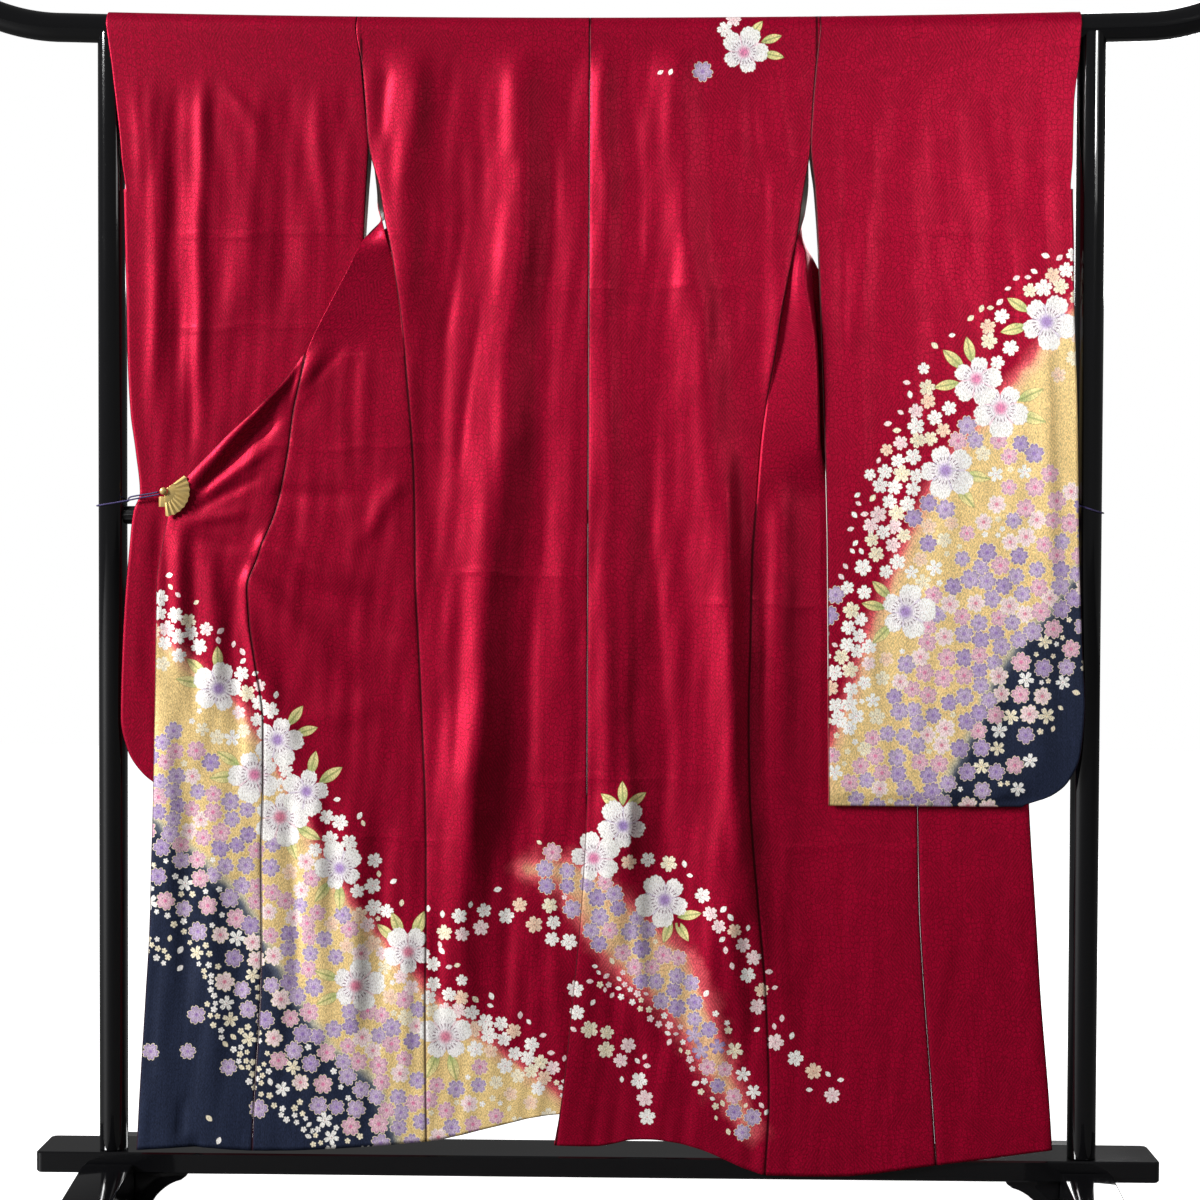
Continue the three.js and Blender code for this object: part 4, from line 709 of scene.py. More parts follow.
def print_spots(mesh, centres, printed, sprays):
    """Gives each face the blossoms that reach it: place and radius, then turn, kind and tint."""
    faces = len(centres)
    spots = [spot for spray in sprays for spot in spray.spots]
    spots.sort(key=lambda spot: -spot[6])
    where = np.zeros((SPOTS_PER_FACE, faces, 3))
    style = np.zeros((SPOTS_PER_FACE, faces, 3))
    used = np.zeros(faces, int)
    spread = 4.5
    for x, z, radius, turn, kind, tint, _ in spots:
        near = (abs(centres[:, 0] - x) < radius + spread) & (abs(centres[:, 1] - z) < radius + spread)
        hits = np.flatnonzero(near & printed)
        reach = np.hypot(centres[hits, 0] - x, centres[hits, 1] - z) < radius + spread
        hits = hits[reach]
        hits = hits[used[hits] < SPOTS_PER_FACE]
        where[used[hits], hits] = (x, z, radius)
        style[used[hits], hits] = (turn, kind, tint)
        used[hits] += 1
    for k in range(SPOTS_PER_FACE):
        lay(mesh, f"spot_{k}", "FACE", where[k])
        lay(mesh, f"style_{k}", "FACE", style[k])
    return used > 0


# ---------------------------------------------------------------- the kimono's panels
BAR_STEPS = 14
BODY_STEPS = 6
BESIDE_SEAM = 2.2               # how far the dent of a seam reaches
BODY_FREE = 1628.0              # below these heights the cloth hangs free of the bar
SLEEVE_FREE = 1590.0
RISE = 41.0                     # cloth between a sleeve's last row and its turn over the bar


def over_bar(xs):
    """Rows of cloth laid over the bar from the back (-Y) to the front (+Y)."""
    angle = math.pi * (1 - np.arange(BAR_STEPS + 1) / BAR_STEPS)[:, None]
    height = bar_height(xs) + DRAPE_R * np.sin(angle)
    return np.stack([xs + 0 * angle, DRAPE_R * np.cos(angle) + 0 * xs, height], -1)


def across_rows(points, start=0.0):
    """Distance of each point across its row of cloth."""
    steps = np.linalg.norm(np.diff(points, axis=1), axis=2)
    return start + np.concatenate([np.zeros((len(points), 1)), np.cumsum(steps, axis=1)], axis=1)


def seam_dent(distance, along):
    """A sewn seam pulls the cloth in and puckers it a little."""
    pucker = 0.28 * np.sin(along / 1.9 + 2.0 * np.sin(along / 23.0)) * np.exp(-((distance / 7) ** 2))
    return 0.9 * np.exp(-((distance / BESIDE_SEAM) ** 2)) + pucker * (distance > 0.4)


def right_front_depth(x, z):
    side = look(RIGHT_ROWS, "side", z)
    hidden = smooth((x - side - 12) / (286 - side))
    return hang(z) + (look(BEHIND_SLEEVE, "y", z) - hang(z)) * hidden, 1 - hidden


def body_control(left):
    """The corners of one body half at the sizes' own rows: back, bar, front, and their places."""
    sign = -1 if left else 1
    rows = LEFT_ROWS if left else RIGHT_ROWS
    turn = LEFT_TURN if left else RIGHT_TURN
    hem = HEM_LEFT if left else HEM_RIGHT
    neck = NECK_LEFT if left else NECK_RIGHT
    side_top = SIDE_TOP_LEFT if left else SIDE_TOP_RIGHT
    bar_side = (LEFT_BAR_SIDE if left else RIGHT_BAR_SIDE) - sign * SEAM
    inner = "left" if left else "right"
    front_strips = BODY_STRIPS - NECK_STRIPS
    z = rows["z"]
    centre = look(CENTRE, inner, z) + sign * SEAM
    side = rows["side"] - sign * SEAM * (z > side_top)
    t = np.arange(BODY_STRIPS + 1) / BODY_STRIPS
    x = centre[:, None] + (side - centre)[:, None] * t
    height = np.repeat(z[:, None], BODY_STRIPS + 1, 1)
    height[0] = look(hem, "height", x[0])
    back = np.stack([x, hang(height), height], -1)

    middle = look(CENTRE, inner, BAR_Z) + sign * SEAM
    top_x = np.concatenate([np.linspace(middle, neck, NECK_STRIPS + 1)[:-1],
                            np.linspace(neck, bar_side, front_strips + 1)])
    top = over_bar(top_x)

    turned, turned_z = [], []
    for i in reversed(range(len(turn["ex"]))):
        r = {name: column[i] for name, column in turn.items()}
        edge_side = np.isnan(r["sx"])
        if edge_side:
            k = int(np.argmin(abs(z - r["sz"])))
            s = (side[k], hang(z[k]), z[k])
        else:
            s = (r["sx"] - sign * SEAM, r["sy"], r["sz"])
        marks, places = [(r["ex"], r["ey"], r["ez"])], [0.0]
        if "gx" in r:
            marks += [(r["gx"], r["gy"], r["gz"]), (r["fx"], r["fy"], r["fz"])]
            places += [0.5, 0.625]
        turned.append(across_strips(np.array(marks + [s]), places + [1.0], front_strips))
        turned_z.append(r["sz"])

    low, low_z = [], []
    t = np.arange(front_strips + 1) / front_strips
    for k in reversed(np.flatnonzero(~np.isnan(rows["seam"]))):
        seam = rows["seam"][k] - sign * SEAM
        x = seam + (side[k] - seam) * t
        height = look(hem, "height", x) if k == 0 else np.full(len(x), z[k])
        depth = hang(height) if left else right_front_depth(x, height)[0]
        low.append(np.stack([x, depth, height], -1))
        low_z.append(z[k])
    front = np.array(turned + low)
    falls = np.array(turned_z + low_z)

    back_place = z - z[0]
    bar_place = back_place[-1] + (BAR_Z - z[-1]) + DRAPE_R * math.pi * np.arange(BAR_STEPS + 1) / BAR_STEPS
    front_place = bar_place[-1] + (BAR_Z - falls)
    return back, top, front, np.concatenate([back_place, bar_place]), front_place, len(low)


def body_half(left):
    """Back, over the bar, and front of one half in one strip, as it is cut."""
    back, top, front, high_place, front_place, low_count = body_control(left)
    rows = LEFT_ROWS if left else RIGHT_ROWS
    side_top = SIDE_TOP_LEFT if left else SIDE_TOP_RIGHT
    high = np.concatenate([back, top])
    knots = np.concatenate([high_place, front_place])
    places = finer(knots)
    columns = strips(BODY_STRIPS, BODY_STEPS, [0, NECK_STRIPS, BODY_STRIPS])
    front_columns = columns[columns >= NECK_STRIPS]
    split = int(np.searchsorted(places, high_place[-1] - 1e-6)) + 1
    neck_rows = through(high_place, high[:, :NECK_STRIPS], places[:split])
    body_rows = through(knots, np.concatenate([high[:, NECK_STRIPS:], front]), places)
    upper = np.concatenate([neck_rows, body_rows[:split]], 1)
    upper = through(np.arange(BODY_STRIPS + 1), upper.transpose(1, 0, 2), columns).transpose(1, 0, 2)
    lower = through(np.arange(NECK_STRIPS, BODY_STRIPS + 1), body_rows[split:].transpose(1, 0, 2),
                    front_columns).transpose(1, 0, 2)

    # the back: creases, the lap at the centre, seams
    x, z = upper[..., 0], upper[..., 2]
    nominal = places[:split, None] + rows["z"][0]
    hanging = smooth((BODY_FREE - nominal) / 62)
    from_centre = abs(x - look(CENTRE, "left" if left else "right", z))
    from_side = abs(x - look(rows, "side", np.clip(z, 0, LAST_ROW)))
    seam = np.minimum(from_centre, from_side)
    depth = crease_depth(BODY_CREASES, x, z) + ripple(x, z, 11)
    if not left:
        depth += look(CENTRE, "lap", z) * smooth(1 - columns[None, :] / 3)
    depth += seam_dent(seam, z)
    upper[..., 1] += depth * hanging
    numbers_from = across_rows(upper)

    # the front below its turn
    x, z = lower[..., 0], lower[..., 2]
    low_from = front_place[len(front_place) - low_count]
    fall = places[split:, None]
    seam_x = look(rows, "seam", np.clip(z, rows["z"][0], None))
    front_side = look(rows, "side", np.clip(z, 0, LAST_ROW))
    sewn = np.minimum(abs(x - seam_x), abs(x - front_side))
    shown = np.ones_like(x) if left else right_front_depth(x, z)[1]
    flat = smooth((fall - low_from + 30) / 60)
    depth = crease_depth(BODY_CREASES, x, z) * shown + ripple(x, z, 11) * (0.5 + 0.5 * shown)
    depth += seam_dent(np.where(flat > 0.5, sewn, 99.0), z)
    lower[..., 1] += depth * flat

    sheet = Cloth()
    start = numbers_from[-1, len(columns) - len(front_columns)]
    upper_numbers = sheet.add(
        upper, px=upper[..., 0], pz=upper[..., 2], u=numbers_from, v=places[:split, None],
        seam=seam, printed=(upper[..., 1] < 0) * 1.0)
    lower_numbers = sheet.add(
        lower, px=lower[..., 0], pz=lower[..., 2], u=across_rows(lower, start), v=fall,
        seam=np.where(flat > 0.5, sewn, 30.0), printed=(fall >= low_from) * 1.0)
    sewn_rows = int(np.sum(places[:split] <= side_top - rows["z"][0] + 1e-6))
    for i in range(sewn_rows):
        lower_numbers[-1 - i, -1] = upper_numbers[i, -1]
    sheet.fill(upper_numbers, turned=left)
    joined = np.concatenate([upper_numbers[-1:, -len(front_columns):], lower_numbers])
    sheet.fill(joined, turned=left)
    return sheet


def okumi_left():
    rows, body = OKUMI_LEFT, LEFT_ROWS
    t = np.arange(OKUMI_STRIPS + 1) / OKUMI_STRIPS
    control = []
    for i, z in enumerate(rows["z"]):
        x = rows["edge"][i] + (body["seam"][i] - SEAM - rows["edge"][i]) * t
        height = look(HEM_LEFT, "height", x) if i == 0 else rows["edge_z"][i] + (z - rows["edge_z"][i]) * t
        depth = rows["depth"][i] + (hang(height) - rows["depth"][i]) * smooth(t)
        control.append(np.stack([x, depth, height], -1))
    tip = np.array([-399.5, float(hang(1203)), 1201.0])
    control.append(tip + np.outer(1 - t, (-3.0, 0.0, -2.0)))
    return okumi_sheet(np.array(control), np.append(rows["z"], 1203.0), OKUMI_CREASES, False)


def okumi_right():
    rows, body = OKUMI_RIGHT, RIGHT_ROWS
    t = np.arange(OKUMI_STRIPS + 1) / OKUMI_STRIPS
    control = []
    for i, z in enumerate(rows["z"]):
        seam = body["seam"][i] + SEAM
        x = seam + (rows["edge"][i] - seam) * t
        height = look(HEM_RIGHT, "height", x) if i == 0 else z + (rows["edge_z"][i] - z) * t
        start = right_front_depth(np.array(seam), np.array(z))[0]
        control.append(np.stack([x, start + (rows["depth"][i] - start) * t, height], -1))
    for ex, ey, ez, x_end, z_end in zip(*OKUMI_RIGHT_TOP.values()):
        x = ex + 2 * SEAM + (x_end - ex - 2 * SEAM) * t
        control.append(np.stack([x, np.full(len(t), ey), ez + (z_end - ez) * t], -1))
    return okumi_sheet(np.array(control), np.append(rows["z"], (1084.0, 1137.0)), None, True)


def okumi_sheet(control, knots, creases, right):
    """The front's outer strip, from its row of corners at each height."""
    places = finer(knots)
    columns = strips(OKUMI_STRIPS, 4, [0, OKUMI_STRIPS])
    grid = refine(control, knots, places, np.arange(OKUMI_STRIPS + 1), columns)
    x, z = grid[..., 0], grid[..., 2]
    body_side = grid[:, :1, 0] if right else grid[:, -1:, 0]
    free_side = grid[:, -1:, 0] if right else grid[:, :1, 0]
    depth = ripple(x, z, 12, 0.7 if right else 1.0)
    if creases is not None:
        depth += crease_depth(creases, x, z)
    join = smooth(abs(x - body_side) / 14)
    body_depth = crease_depth(BODY_CREASES, x, z) + ripple(x, z, 11)
    depth = depth * join + (0 if right else 1) * body_depth * (1 - join)
    depth += seam_dent(abs(x - body_side), z)
    depth += 1.3 * np.exp(-((abs(x - free_side) / 3.0) ** 2))
    grid[..., 1] += depth
    sheet = Cloth()
    seam = np.minimum(abs(x - body_side), abs(x - free_side) + 0.6)
    numbers = sheet.add(grid, px=x, pz=z, u=across_rows(grid), v=places[:, None], seam=seam, printed=1.0)
    sheet.fill(numbers)
    return sheet


SLEEVE_STRIPS = 9


def sleeve(left):
    """A long pouch: open at the armhole and wrist, sewn along its outer edge and its bottom."""
    sign = -1 if left else 1
    rows, wrist = (SLEEVE_LEFT, WRIST_LEFT) if left else (SLEEVE_RIGHT, WRIST_RIGHT)
    creases = SLEEVE_CREASES_LEFT if left else SLEEVE_CREASES_RIGHT
    edge_y = -18.0 if left else -25.0
    bar_inner = (LEFT_BAR_SIDE if left else RIGHT_BAR_SIDE) + sign * SEAM
    bar_outer = -673.0 if left else 652.0
    t = strips(SLEEVE_STRIPS, 7, [0, SLEEVE_STRIPS]) / SLEEVE_STRIPS
    z = finer(rows["z"])
    free = smooth((z - WRIST_Z) / 45)[:, None]
    inner = look(rows, "inner", z)[:, None] + sign * SEAM
    outer = look(rows, "outer", z)[:, None]
    height = z[:, None] + 0 * t
    closing = smooth((z - z[0]) / 16)[:, None]

    fold = outer - sign * EDGE_IN * (1 - free)
    x = inner + (fold - inner) * t
    soft = smooth(abs(x - inner) / 30) * smooth(abs(x - fold) / 40) * smooth((SLEEVE_FREE - height) / 70)
    flat = look(rows, "back", z)[:, None]
    edge = (edge_y - EDGE_HALF) * (1 - free) + flat * free
    y = edge + (flat - edge) * smooth(abs(x - fold) / 70)
    y = y + (crease_depth(creases, x, height) + ripple(x, height, 13 if left else 14)) * soft
    y = y + seam_dent(abs(x - inner), height) * smooth((SLEEVE_FREE - height) / 70) * 0.8
    back = np.stack([x, (edge_y - EDGE_HALF) * (1 - closing) + y * closing, height], -1)

    corner_x = (outer - sign * EDGE_IN) * (1 - free) + look(wrist, "x", z)[:, None] * free
    corner_y = look(wrist, "y", z)[:, None]
    x_front = inner + (corner_x - inner) * t
    flat = look(rows, "front", z)[:, None]
    y = corner_y + (flat - corner_y) * smooth(abs(x_front - corner_x) / 150)
    y = y - 0.8 * ripple(x_front, height, 15) * soft
    front = np.stack([x_front, (edge_y + EDGE_HALF) * (1 - closing) + y * closing, height], -1)

    top = over_bar(bar_inner + (bar_outer - bar_inner) * t)
    steps = (np.arange(1, 8) / 8)[:, None, None]
    rise = back[-1] + (top[0] - back[-1]) * steps
    fall = top[-1] + (front[-1] - top[-1]) * steps

    sheet = Cloth()
    gone = z - z[0]
    far = gone[-1] + (BAR_Z - z[-1]) + math.pi * DRAPE_R

    def put(grid, along, shown):
        distance = abs(grid[..., 0] - grid[:, :1, 0])
        return sheet.add(grid, px=grid[..., 0], pz=grid[..., 2], u=across_rows(grid), v=along[:, None],
                         seam=distance + 0 * grid[..., 0], printed=shown)

    to_bar = RISE * steps[:, 0, 0]
    round_bar = math.pi * DRAPE_R * np.arange(BAR_STEPS + 1) / BAR_STEPS
    back_numbers = put(back, gone, 1.0)
    rise_numbers = put(rise, gone[-1] + to_bar, 1.0)
    top_numbers = put(top, gone[-1] + BAR_Z - z[-1] + round_bar, 0.0)
    fall_numbers = put(fall, far + to_bar, 0.0)
    front_numbers = put(front, far + (BAR_Z - z), 1.0)
    sheet.fill(np.concatenate([back_numbers, rise_numbers, top_numbers, fall_numbers,
                               front_numbers[::-1]]), turned=left)

    sewn = int(np.sum(z <= WRIST_Z + 1e-6))
    turns = np.radians([-45.0, 0.0, 45.0])
    lines = [back_numbers[:sewn, -1]]
    bottoms = [back_numbers[0]]
    for turn in turns:
        edge_x = outer[:sewn] - sign * EDGE_IN * (1 - math.cos(turn))
        turn_y = edge_y + EDGE_HALF * math.sin(turn)
        line = np.stack([edge_x, np.full_like(edge_x, turn_y), z[:sewn, None]], -1)
        lines.append(put(line, gone[:sewn], 1.0)[:, 0])
        drop = back[:1].copy()
        drop[..., 1] = turn_y
        drop[..., 2] -= EDGE_IN * math.cos(turn)
        bottoms.append(put(drop, gone[:1], 1.0)[0])
    lines.append(front_numbers[:sewn, -1])
    bottoms.append(front_numbers[0])
    sheet.fill(np.stack(lines, 1), turned=left)
    sheet.fill(np.stack(bottoms[::-1]), turned=left)
    sheet.fill(np.array([[b[-1], c[0]] for b, c in zip(bottoms[::-1], lines[::-1])]), turned=left)
    return sheet


def collar():
    """One folded band from clip to clip round the neck."""
    sewn_side = np.stack([COLLAR[k] for k in ("ax", "ay", "az")], 1)
    free_side = np.stack([COLLAR[k] for k in ("bx", "by", "bz")], 1)
    _, knots = lengths(sewn_side)
    places = finer(knots, 5.0)
    across = np.linspace(0, 1, 13)
    a, b = through(knots, sewn_side, places), through(knots, free_side, places)
    grid = a[:, None] + (b - a)[:, None] * across[:, None]
    grid[..., 1] += 0.5 * ripple(grid[..., 0], grid[..., 2], 16)
    sheet = Cloth()
    numbers = sheet.add(grid, px=grid[..., 0], pz=grid[..., 2], u=across_rows(grid), v=places[:, None],
                        seam=across * 55, printed=0.0)
    sheet.fill(numbers)
    return sheet


# ---------------------------------------------------------------- materials
def srgb(red, green, blue):
    """A colour named by its screen values from 0 to 255, as the shader wants it."""
    linear = [c / 255 / 12.92 if c <= 10 else ((c / 255 + 0.055) / 1.055) ** 2.4 for c in (red, green, blue)]
    return (*linear, 1.0)


def chosen(name):
    """A colour from the add-on's own settings."""
    return tuple(getattr(bpy.context.scene.kimono_colours, name))


class Nodes:
    """Adds nodes to a shader tree and joins their sockets."""

    def __init__(self, tree):
        self.tree = tree

    def add(self, kind, inputs=None, **settings):
        node = self.tree.nodes.new(kind)
        for key, value in settings.items():
            setattr(node, key, value)
        for key, value in (inputs or {}).items():
            self.put(node.inputs[key], value)
        return node

    def put(self, socket, value):
        if isinstance(value, bpy.types.NodeSocket):
            self.tree.links.new(value, socket)
        else:
            socket.default_value = value

    def math(self, operation, *values, clamp=False):
        node = self.add("ShaderNodeMath", operation=operation, use_clamp=clamp)
        for socket, value in zip(node.inputs, values):
            self.put(socket, value)
        return node.outputs[0]

    def times(self, a, b):
        return self.math("MULTIPLY", a, b)

    def minus(self, a, b, clamp=False):
        return self.math("SUBTRACT", a, b, clamp=clamp)

    def times_plus(self, value, factor, offset, clamp=False):
        return self.math("MULTIPLY_ADD", value, factor, offset, clamp=clamp)

    def mix(self, factor, a, b, blend="MIX"):
        """Mixes two colours."""
        return self.add("ShaderNodeMix", {"Factor": factor, "A": a, "B": b}, data_type="RGBA",
                        blend_type=blend).outputs["Result"]

    def blend(self, factor, a, b):
        """Mixes two numbers."""
        return self.add("ShaderNodeMix", {"Factor": factor, "A": a, "B": b},
                        data_type="FLOAT").outputs["Result"]

    def shaded(self, color, strength):
        """A colour made lighter or darker by a factor that changes over the cloth."""
        grey = self.add("ShaderNodeCombineXYZ", {"X": strength, "Y": strength, "Z": strength})
        return self.mix(1.0, color, grey.outputs[0], "MULTIPLY")

    def ramp(self, factor, stops, interpolation="LINEAR"):
        node = self.add("ShaderNodeValToRGB", {"Fac": factor})
        node.color_ramp.interpolation = interpolation
        elements = node.color_ramp.elements
        while len(elements) < len(stops):
            elements.new(0.5)
        for element, (place, color) in zip(elements, stops):
            element.position = place
            element.color = color
        return node.outputs["Color"]

    def noise(self, vector, scale, detail=2.0, roughness=0.5):
        node = self.add("ShaderNodeTexNoise", {"Vector": vector, "Scale": scale, "Detail": detail,
                                               "Roughness": roughness})
        return node.outputs["Fac"]

    def voronoi(self, vector, feature="F1"):
        return self.add("ShaderNodeTexVoronoi", {"Vector": vector, "Scale": 1.0}, voronoi_dimensions="2D",
                        feature=feature).outputs

    def scaled(self, vector, sizes, turn=0.0):
        node = self.add("ShaderNodeMapping", {"Vector": vector, "Scale": sizes, "Rotation": (0, 0, turn)})
        return node.outputs["Vector"]

    def cells(self, vector, across, along):
        """The vector measured in cells of the given size, in millimetres."""
        return self.scaled(vector, (1 / across, 1 / along, 1))

    def attribute(self, name):
        return self.add("ShaderNodeAttribute", attribute_name=name).outputs["Vector"]

    def object_place(self):
        return self.add("ShaderNodeTexCoord").outputs["Object"]

    def parts(self, vector):
        return self.add("ShaderNodeSeparateXYZ", {"Vector": vector}).outputs

    def bump(self, shader, height, strength, distance):
        node = self.add("ShaderNodeBump", {"Strength": strength, "Distance": distance, "Height": height})
        self.put(shader.inputs["Normal"], node.outputs["Normal"])


def material(name):
    """A new material with a Principled BSDF; returns it, its node helper and the BSDF."""
    made = bpy.data.materials.new(name)
    made.use_nodes = True
    return made, Nodes(made.node_tree), made.node_tree.nodes["Principled BSDF"]


def group(name, inputs, outputs):
    """An empty shader group with named sockets; returns it, its helper, inputs and outputs."""
    tree = bpy.data.node_groups.new(name, "ShaderNodeTree")
    for label, kind in inputs:
        tree.interface.new_socket(label, in_out="INPUT", socket_type=kind)
    for label, kind in outputs:
        tree.interface.new_socket(label, in_out="OUTPUT", socket_type=kind)
    nodes = Nodes(tree)
    return tree, nodes, nodes.add("NodeGroupInput").outputs, nodes.add("NodeGroupOutput").inputs


FLOAT, VECTOR, COLOR = "NodeSocketFloat", "NodeSocketVector", "NodeSocketColor"


def step_between(nodes, value, low, high):
    return nodes.add("ShaderNodeMapRange", {"Value": value, "From Min": low, "From Max": high},
                     interpolation_type="SMOOTHSTEP").outputs["Result"]


def stair(colors):
    """Stops for a ramp that steps from one colour to the next."""
    return [(i / 8, color) for i, color in enumerate(colors)]


def blossom_group():
    """Draws one printed blossom, leaf or petal over the ground colour."""
    tree, n, into, out = group(
        "printed_blossom",
        [("Place", VECTOR), ("Spot", VECTOR), ("Style", VECTOR), ("Ground", COLOR)],
        [("Colour", COLOR), ("Mask", FLOAT)])
    place = n.parts(into["Place"])
    spot = n.parts(into["Spot"])
    style = n.parts(into["Style"])
    dx = n.minus(place["X"], spot["X"])
    dz = n.minus(place["Y"], spot["Y"])
    radius = n.math("MAXIMUM", spot["Z"], 0.01)
    far = n.math("SQRT", n.math("ADD", n.times(dx, dx), n.times(dz, dz)))
    rho = n.math("DIVIDE", far, radius)
    angle = n.minus(n.math("ARCTAN2", dz, dx), style["X"])
    kind = n.times_plus(style["Y"], 1 / 8, 1 / 16)
    tint = n.times_plus(style["Z"], 1 / 8, 1 / 16)

    # each kind's notch at a petal's tip, gap between petals, and size of the heart
    shape = n.add("ShaderNodeSeparateColor", {"Color": n.ramp(kind, stair([
        (0.15, 0.46, 0.12, 1), (0.05, 0.40, 0.34, 1), (0.17, 0.34, 0.30, 1), (0, 0, 0.02, 1),
        (0, 0.44, 0.12, 1), (0.12, 0.84, 0.10, 1), (0, 0, 0.02, 1)]), "CONSTANT")}).outputs
    # slim pieces (leaf, petal), their width, and the strength of a pale outline
    extra = n.add("ShaderNodeSeparateColor", {"Color": n.ramp(kind, stair([
        (0, 0, 0.05, 1), (0, 0, 0.3, 1), (0, 0, 0.95, 1), (1, 0.40, 0, 1), (0, 0, 0, 1), (0, 0, 0, 1),
        (1, 0.62, 0, 1)]), "CONSTANT")}).outputs
    large = n.math("COMPARE", style["Y"], float(LARGE), 0.4)
    leaf = n.math("COMPARE", style["Y"], float(LEAF), 0.4)

    petal = n.times(n.math("PINGPONG", n.times(angle, 5 / (2 * math.pi)), 0.5), 2.0)
    gap = n.times(shape["Green"], n.math("POWER", petal, 2.6))
    notch = n.times(shape["Red"], n.minus(1.0, n.math("DIVIDE", petal, 0.26), clamp=True))
    frill = n.times(n.math("SINE", n.times(angle, 37.0)), 0.02)
    lean = n.times(n.math("COSINE", angle), 0.13)
    uneven = n.times(n.math("ADD", frill, lean), large)
    edge = n.math("ADD", n.minus(n.minus(1.0, gap), notch), uneven)
    inside = n.times(n.minus(edge, rho), radius)
    along = n.times(n.math("COSINE", angle), rho)
    across = n.math("ABSOLUTE", n.times(n.math("SINE", angle), rho))
    lens = n.times(extra["Green"], n.minus(1.0, n.times(along, along)))
    slim = n.times(n.minus(lens, across), radius)
    inside = n.blend(extra["Red"], inside, slim)
    mask = n.times_plus(inside, 1.3, 0.5, clamp=True)
    mask = n.times(mask, n.math("GREATER_THAN", spot["Z"], 0.5))

    white, cream = srgb(252, 249, 243), srgb(246, 232, 196)
    body = n.ramp(tint, stair([
        white, srgb(246, 234, 204), srgb(248, 220, 220), srgb(248, 212, 184), srgb(206, 186, 212),
        srgb(190, 168, 204), srgb(236, 196, 206), srgb(230, 224, 160)]), "CONSTANT")
    tip = n.ramp(tint, stair([
        white, srgb(248, 238, 214), srgb(250, 230, 228), srgb(250, 222, 198), srgb(160, 136, 184),
        srgb(144, 120, 172), srgb(208, 150, 182), srgb(244, 232, 160)]), "CONSTANT")
    heart = n.ramp(tint, stair([
        srgb(230, 130, 140), srgb(220, 170, 100), srgb(226, 120, 150), srgb(216, 124, 116),
        srgb(166, 128, 196), srgb(150, 116, 188), srgb(228, 120, 168), srgb(130, 160, 96)]), "CONSTANT")
    petals = n.mix(step_between(n, rho, 0.42, 0.92), body, tip)
    petals = n.mix(large, petals, n.mix(step_between(n, rho, 0.2, 0.95), srgb(240, 232, 236), white))
    line = n.times(step_between(n, petal, 0.82, 0.97), step_between(n, rho, 0.16, 0.3))
    petals = n.mix(n.times(line, 0.3), petals, heart)
    glow = n.minus(1.0, step_between(n, rho, n.times(shape["Blue"], 0.25), shape["Blue"]))
    petals = n.mix(n.times(glow, 0.9), petals, heart)
    spokes = n.math("PINGPONG", n.times(angle, n.times_plus(large, 17 / (2 * math.pi),
                                                                5 / (2 * math.pi))), 0.5)
    dash = n.math("LESS_THAN", spokes, n.times_plus(large, 0.03, 0.09))
    ring_at = n.times_plus(large, 0.10, 0.34)
    ring = n.math("LESS_THAN", n.math("ABSOLUTE", n.minus(rho, ring_at)), 0.06)
    stamens = n.times(n.times(dash, ring), n.math("GREATER_THAN", shape["Blue"], 0.08))
    petals = n.mix(n.times(stamens, n.times_plus(large, 0.4, 0.45)), petals,
                   srgb(112, 56, 84))
    rim = n.times(n.minus(1.0, step_between(n, inside, 0.6, 1.5)), extra["Blue"])
    petals = n.mix(rim, petals, n.mix(large, cream, srgb(206, 176, 180)))
    rib = n.times(leaf, n.minus(1.0, step_between(n, across, 0.02, 0.10)))
    leafy = n.mix(step_between(n, along, 0.5, -0.8), srgb(242, 226, 160), srgb(190, 200, 130))
    leafy = n.mix(n.times(rib, 0.7), leafy, srgb(146, 160, 92))
    leafy = n.mix(n.minus(1.0, step_between(n, inside, 0.1, 0.7)), leafy, srgb(150, 130, 70))
    color = n.mix(leaf, petals, leafy)
    n.put(out["Colour"], n.mix(mask, into["Ground"], color))
    n.put(out["Mask"], mask)
    return tree


LINE_STEP = 3.9                 # between the woven lines


def weave_group():
    """Figured silk: patches of fine slanting lines and of crackle, and a crepe grain."""
    tree, n, into, out = group("figured_weave", [("Cloth", VECTOR)], [("Figure", FLOAT), ("Grain", FLOAT)])
    cloth = into["Cloth"]
    grain = n.noise(n.cells(cloth, 2.3, 2.9), 1.0, 1.0, 0.7)
    patches = n.voronoi(n.cells(cloth, 30, 22))
    pick = n.add("ShaderNodeSeparateColor", {"Color": patches["Color"]}).outputs
    waves = []
    for turn in (32, -36):
        turned = n.scaled(cloth, (1 / LINE_STEP, 1 / LINE_STEP, 1), math.radians(turn))
        across = n.parts(turned)["X"]
        across = n.math("ADD", across, grain)
        waves.append(n.times_plus(n.math("SINE", n.times(across, 2 * math.pi)), 0.5, 0.5))
    lines = n.blend(n.math("GREATER_THAN", pick["Red"], 0.5), waves[0], waves[1])
    crackle = n.voronoi(n.cells(cloth, 6.4, 7.2), "DISTANCE_TO_EDGE")
    small = step_between(n, crackle["Distance"], 0.01, 0.17)
    n.put(out["Figure"], n.blend(n.math("GREATER_THAN", pick["Green"], 0.45), lines, small))
    n.put(out["Grain"], grain)
    return tree


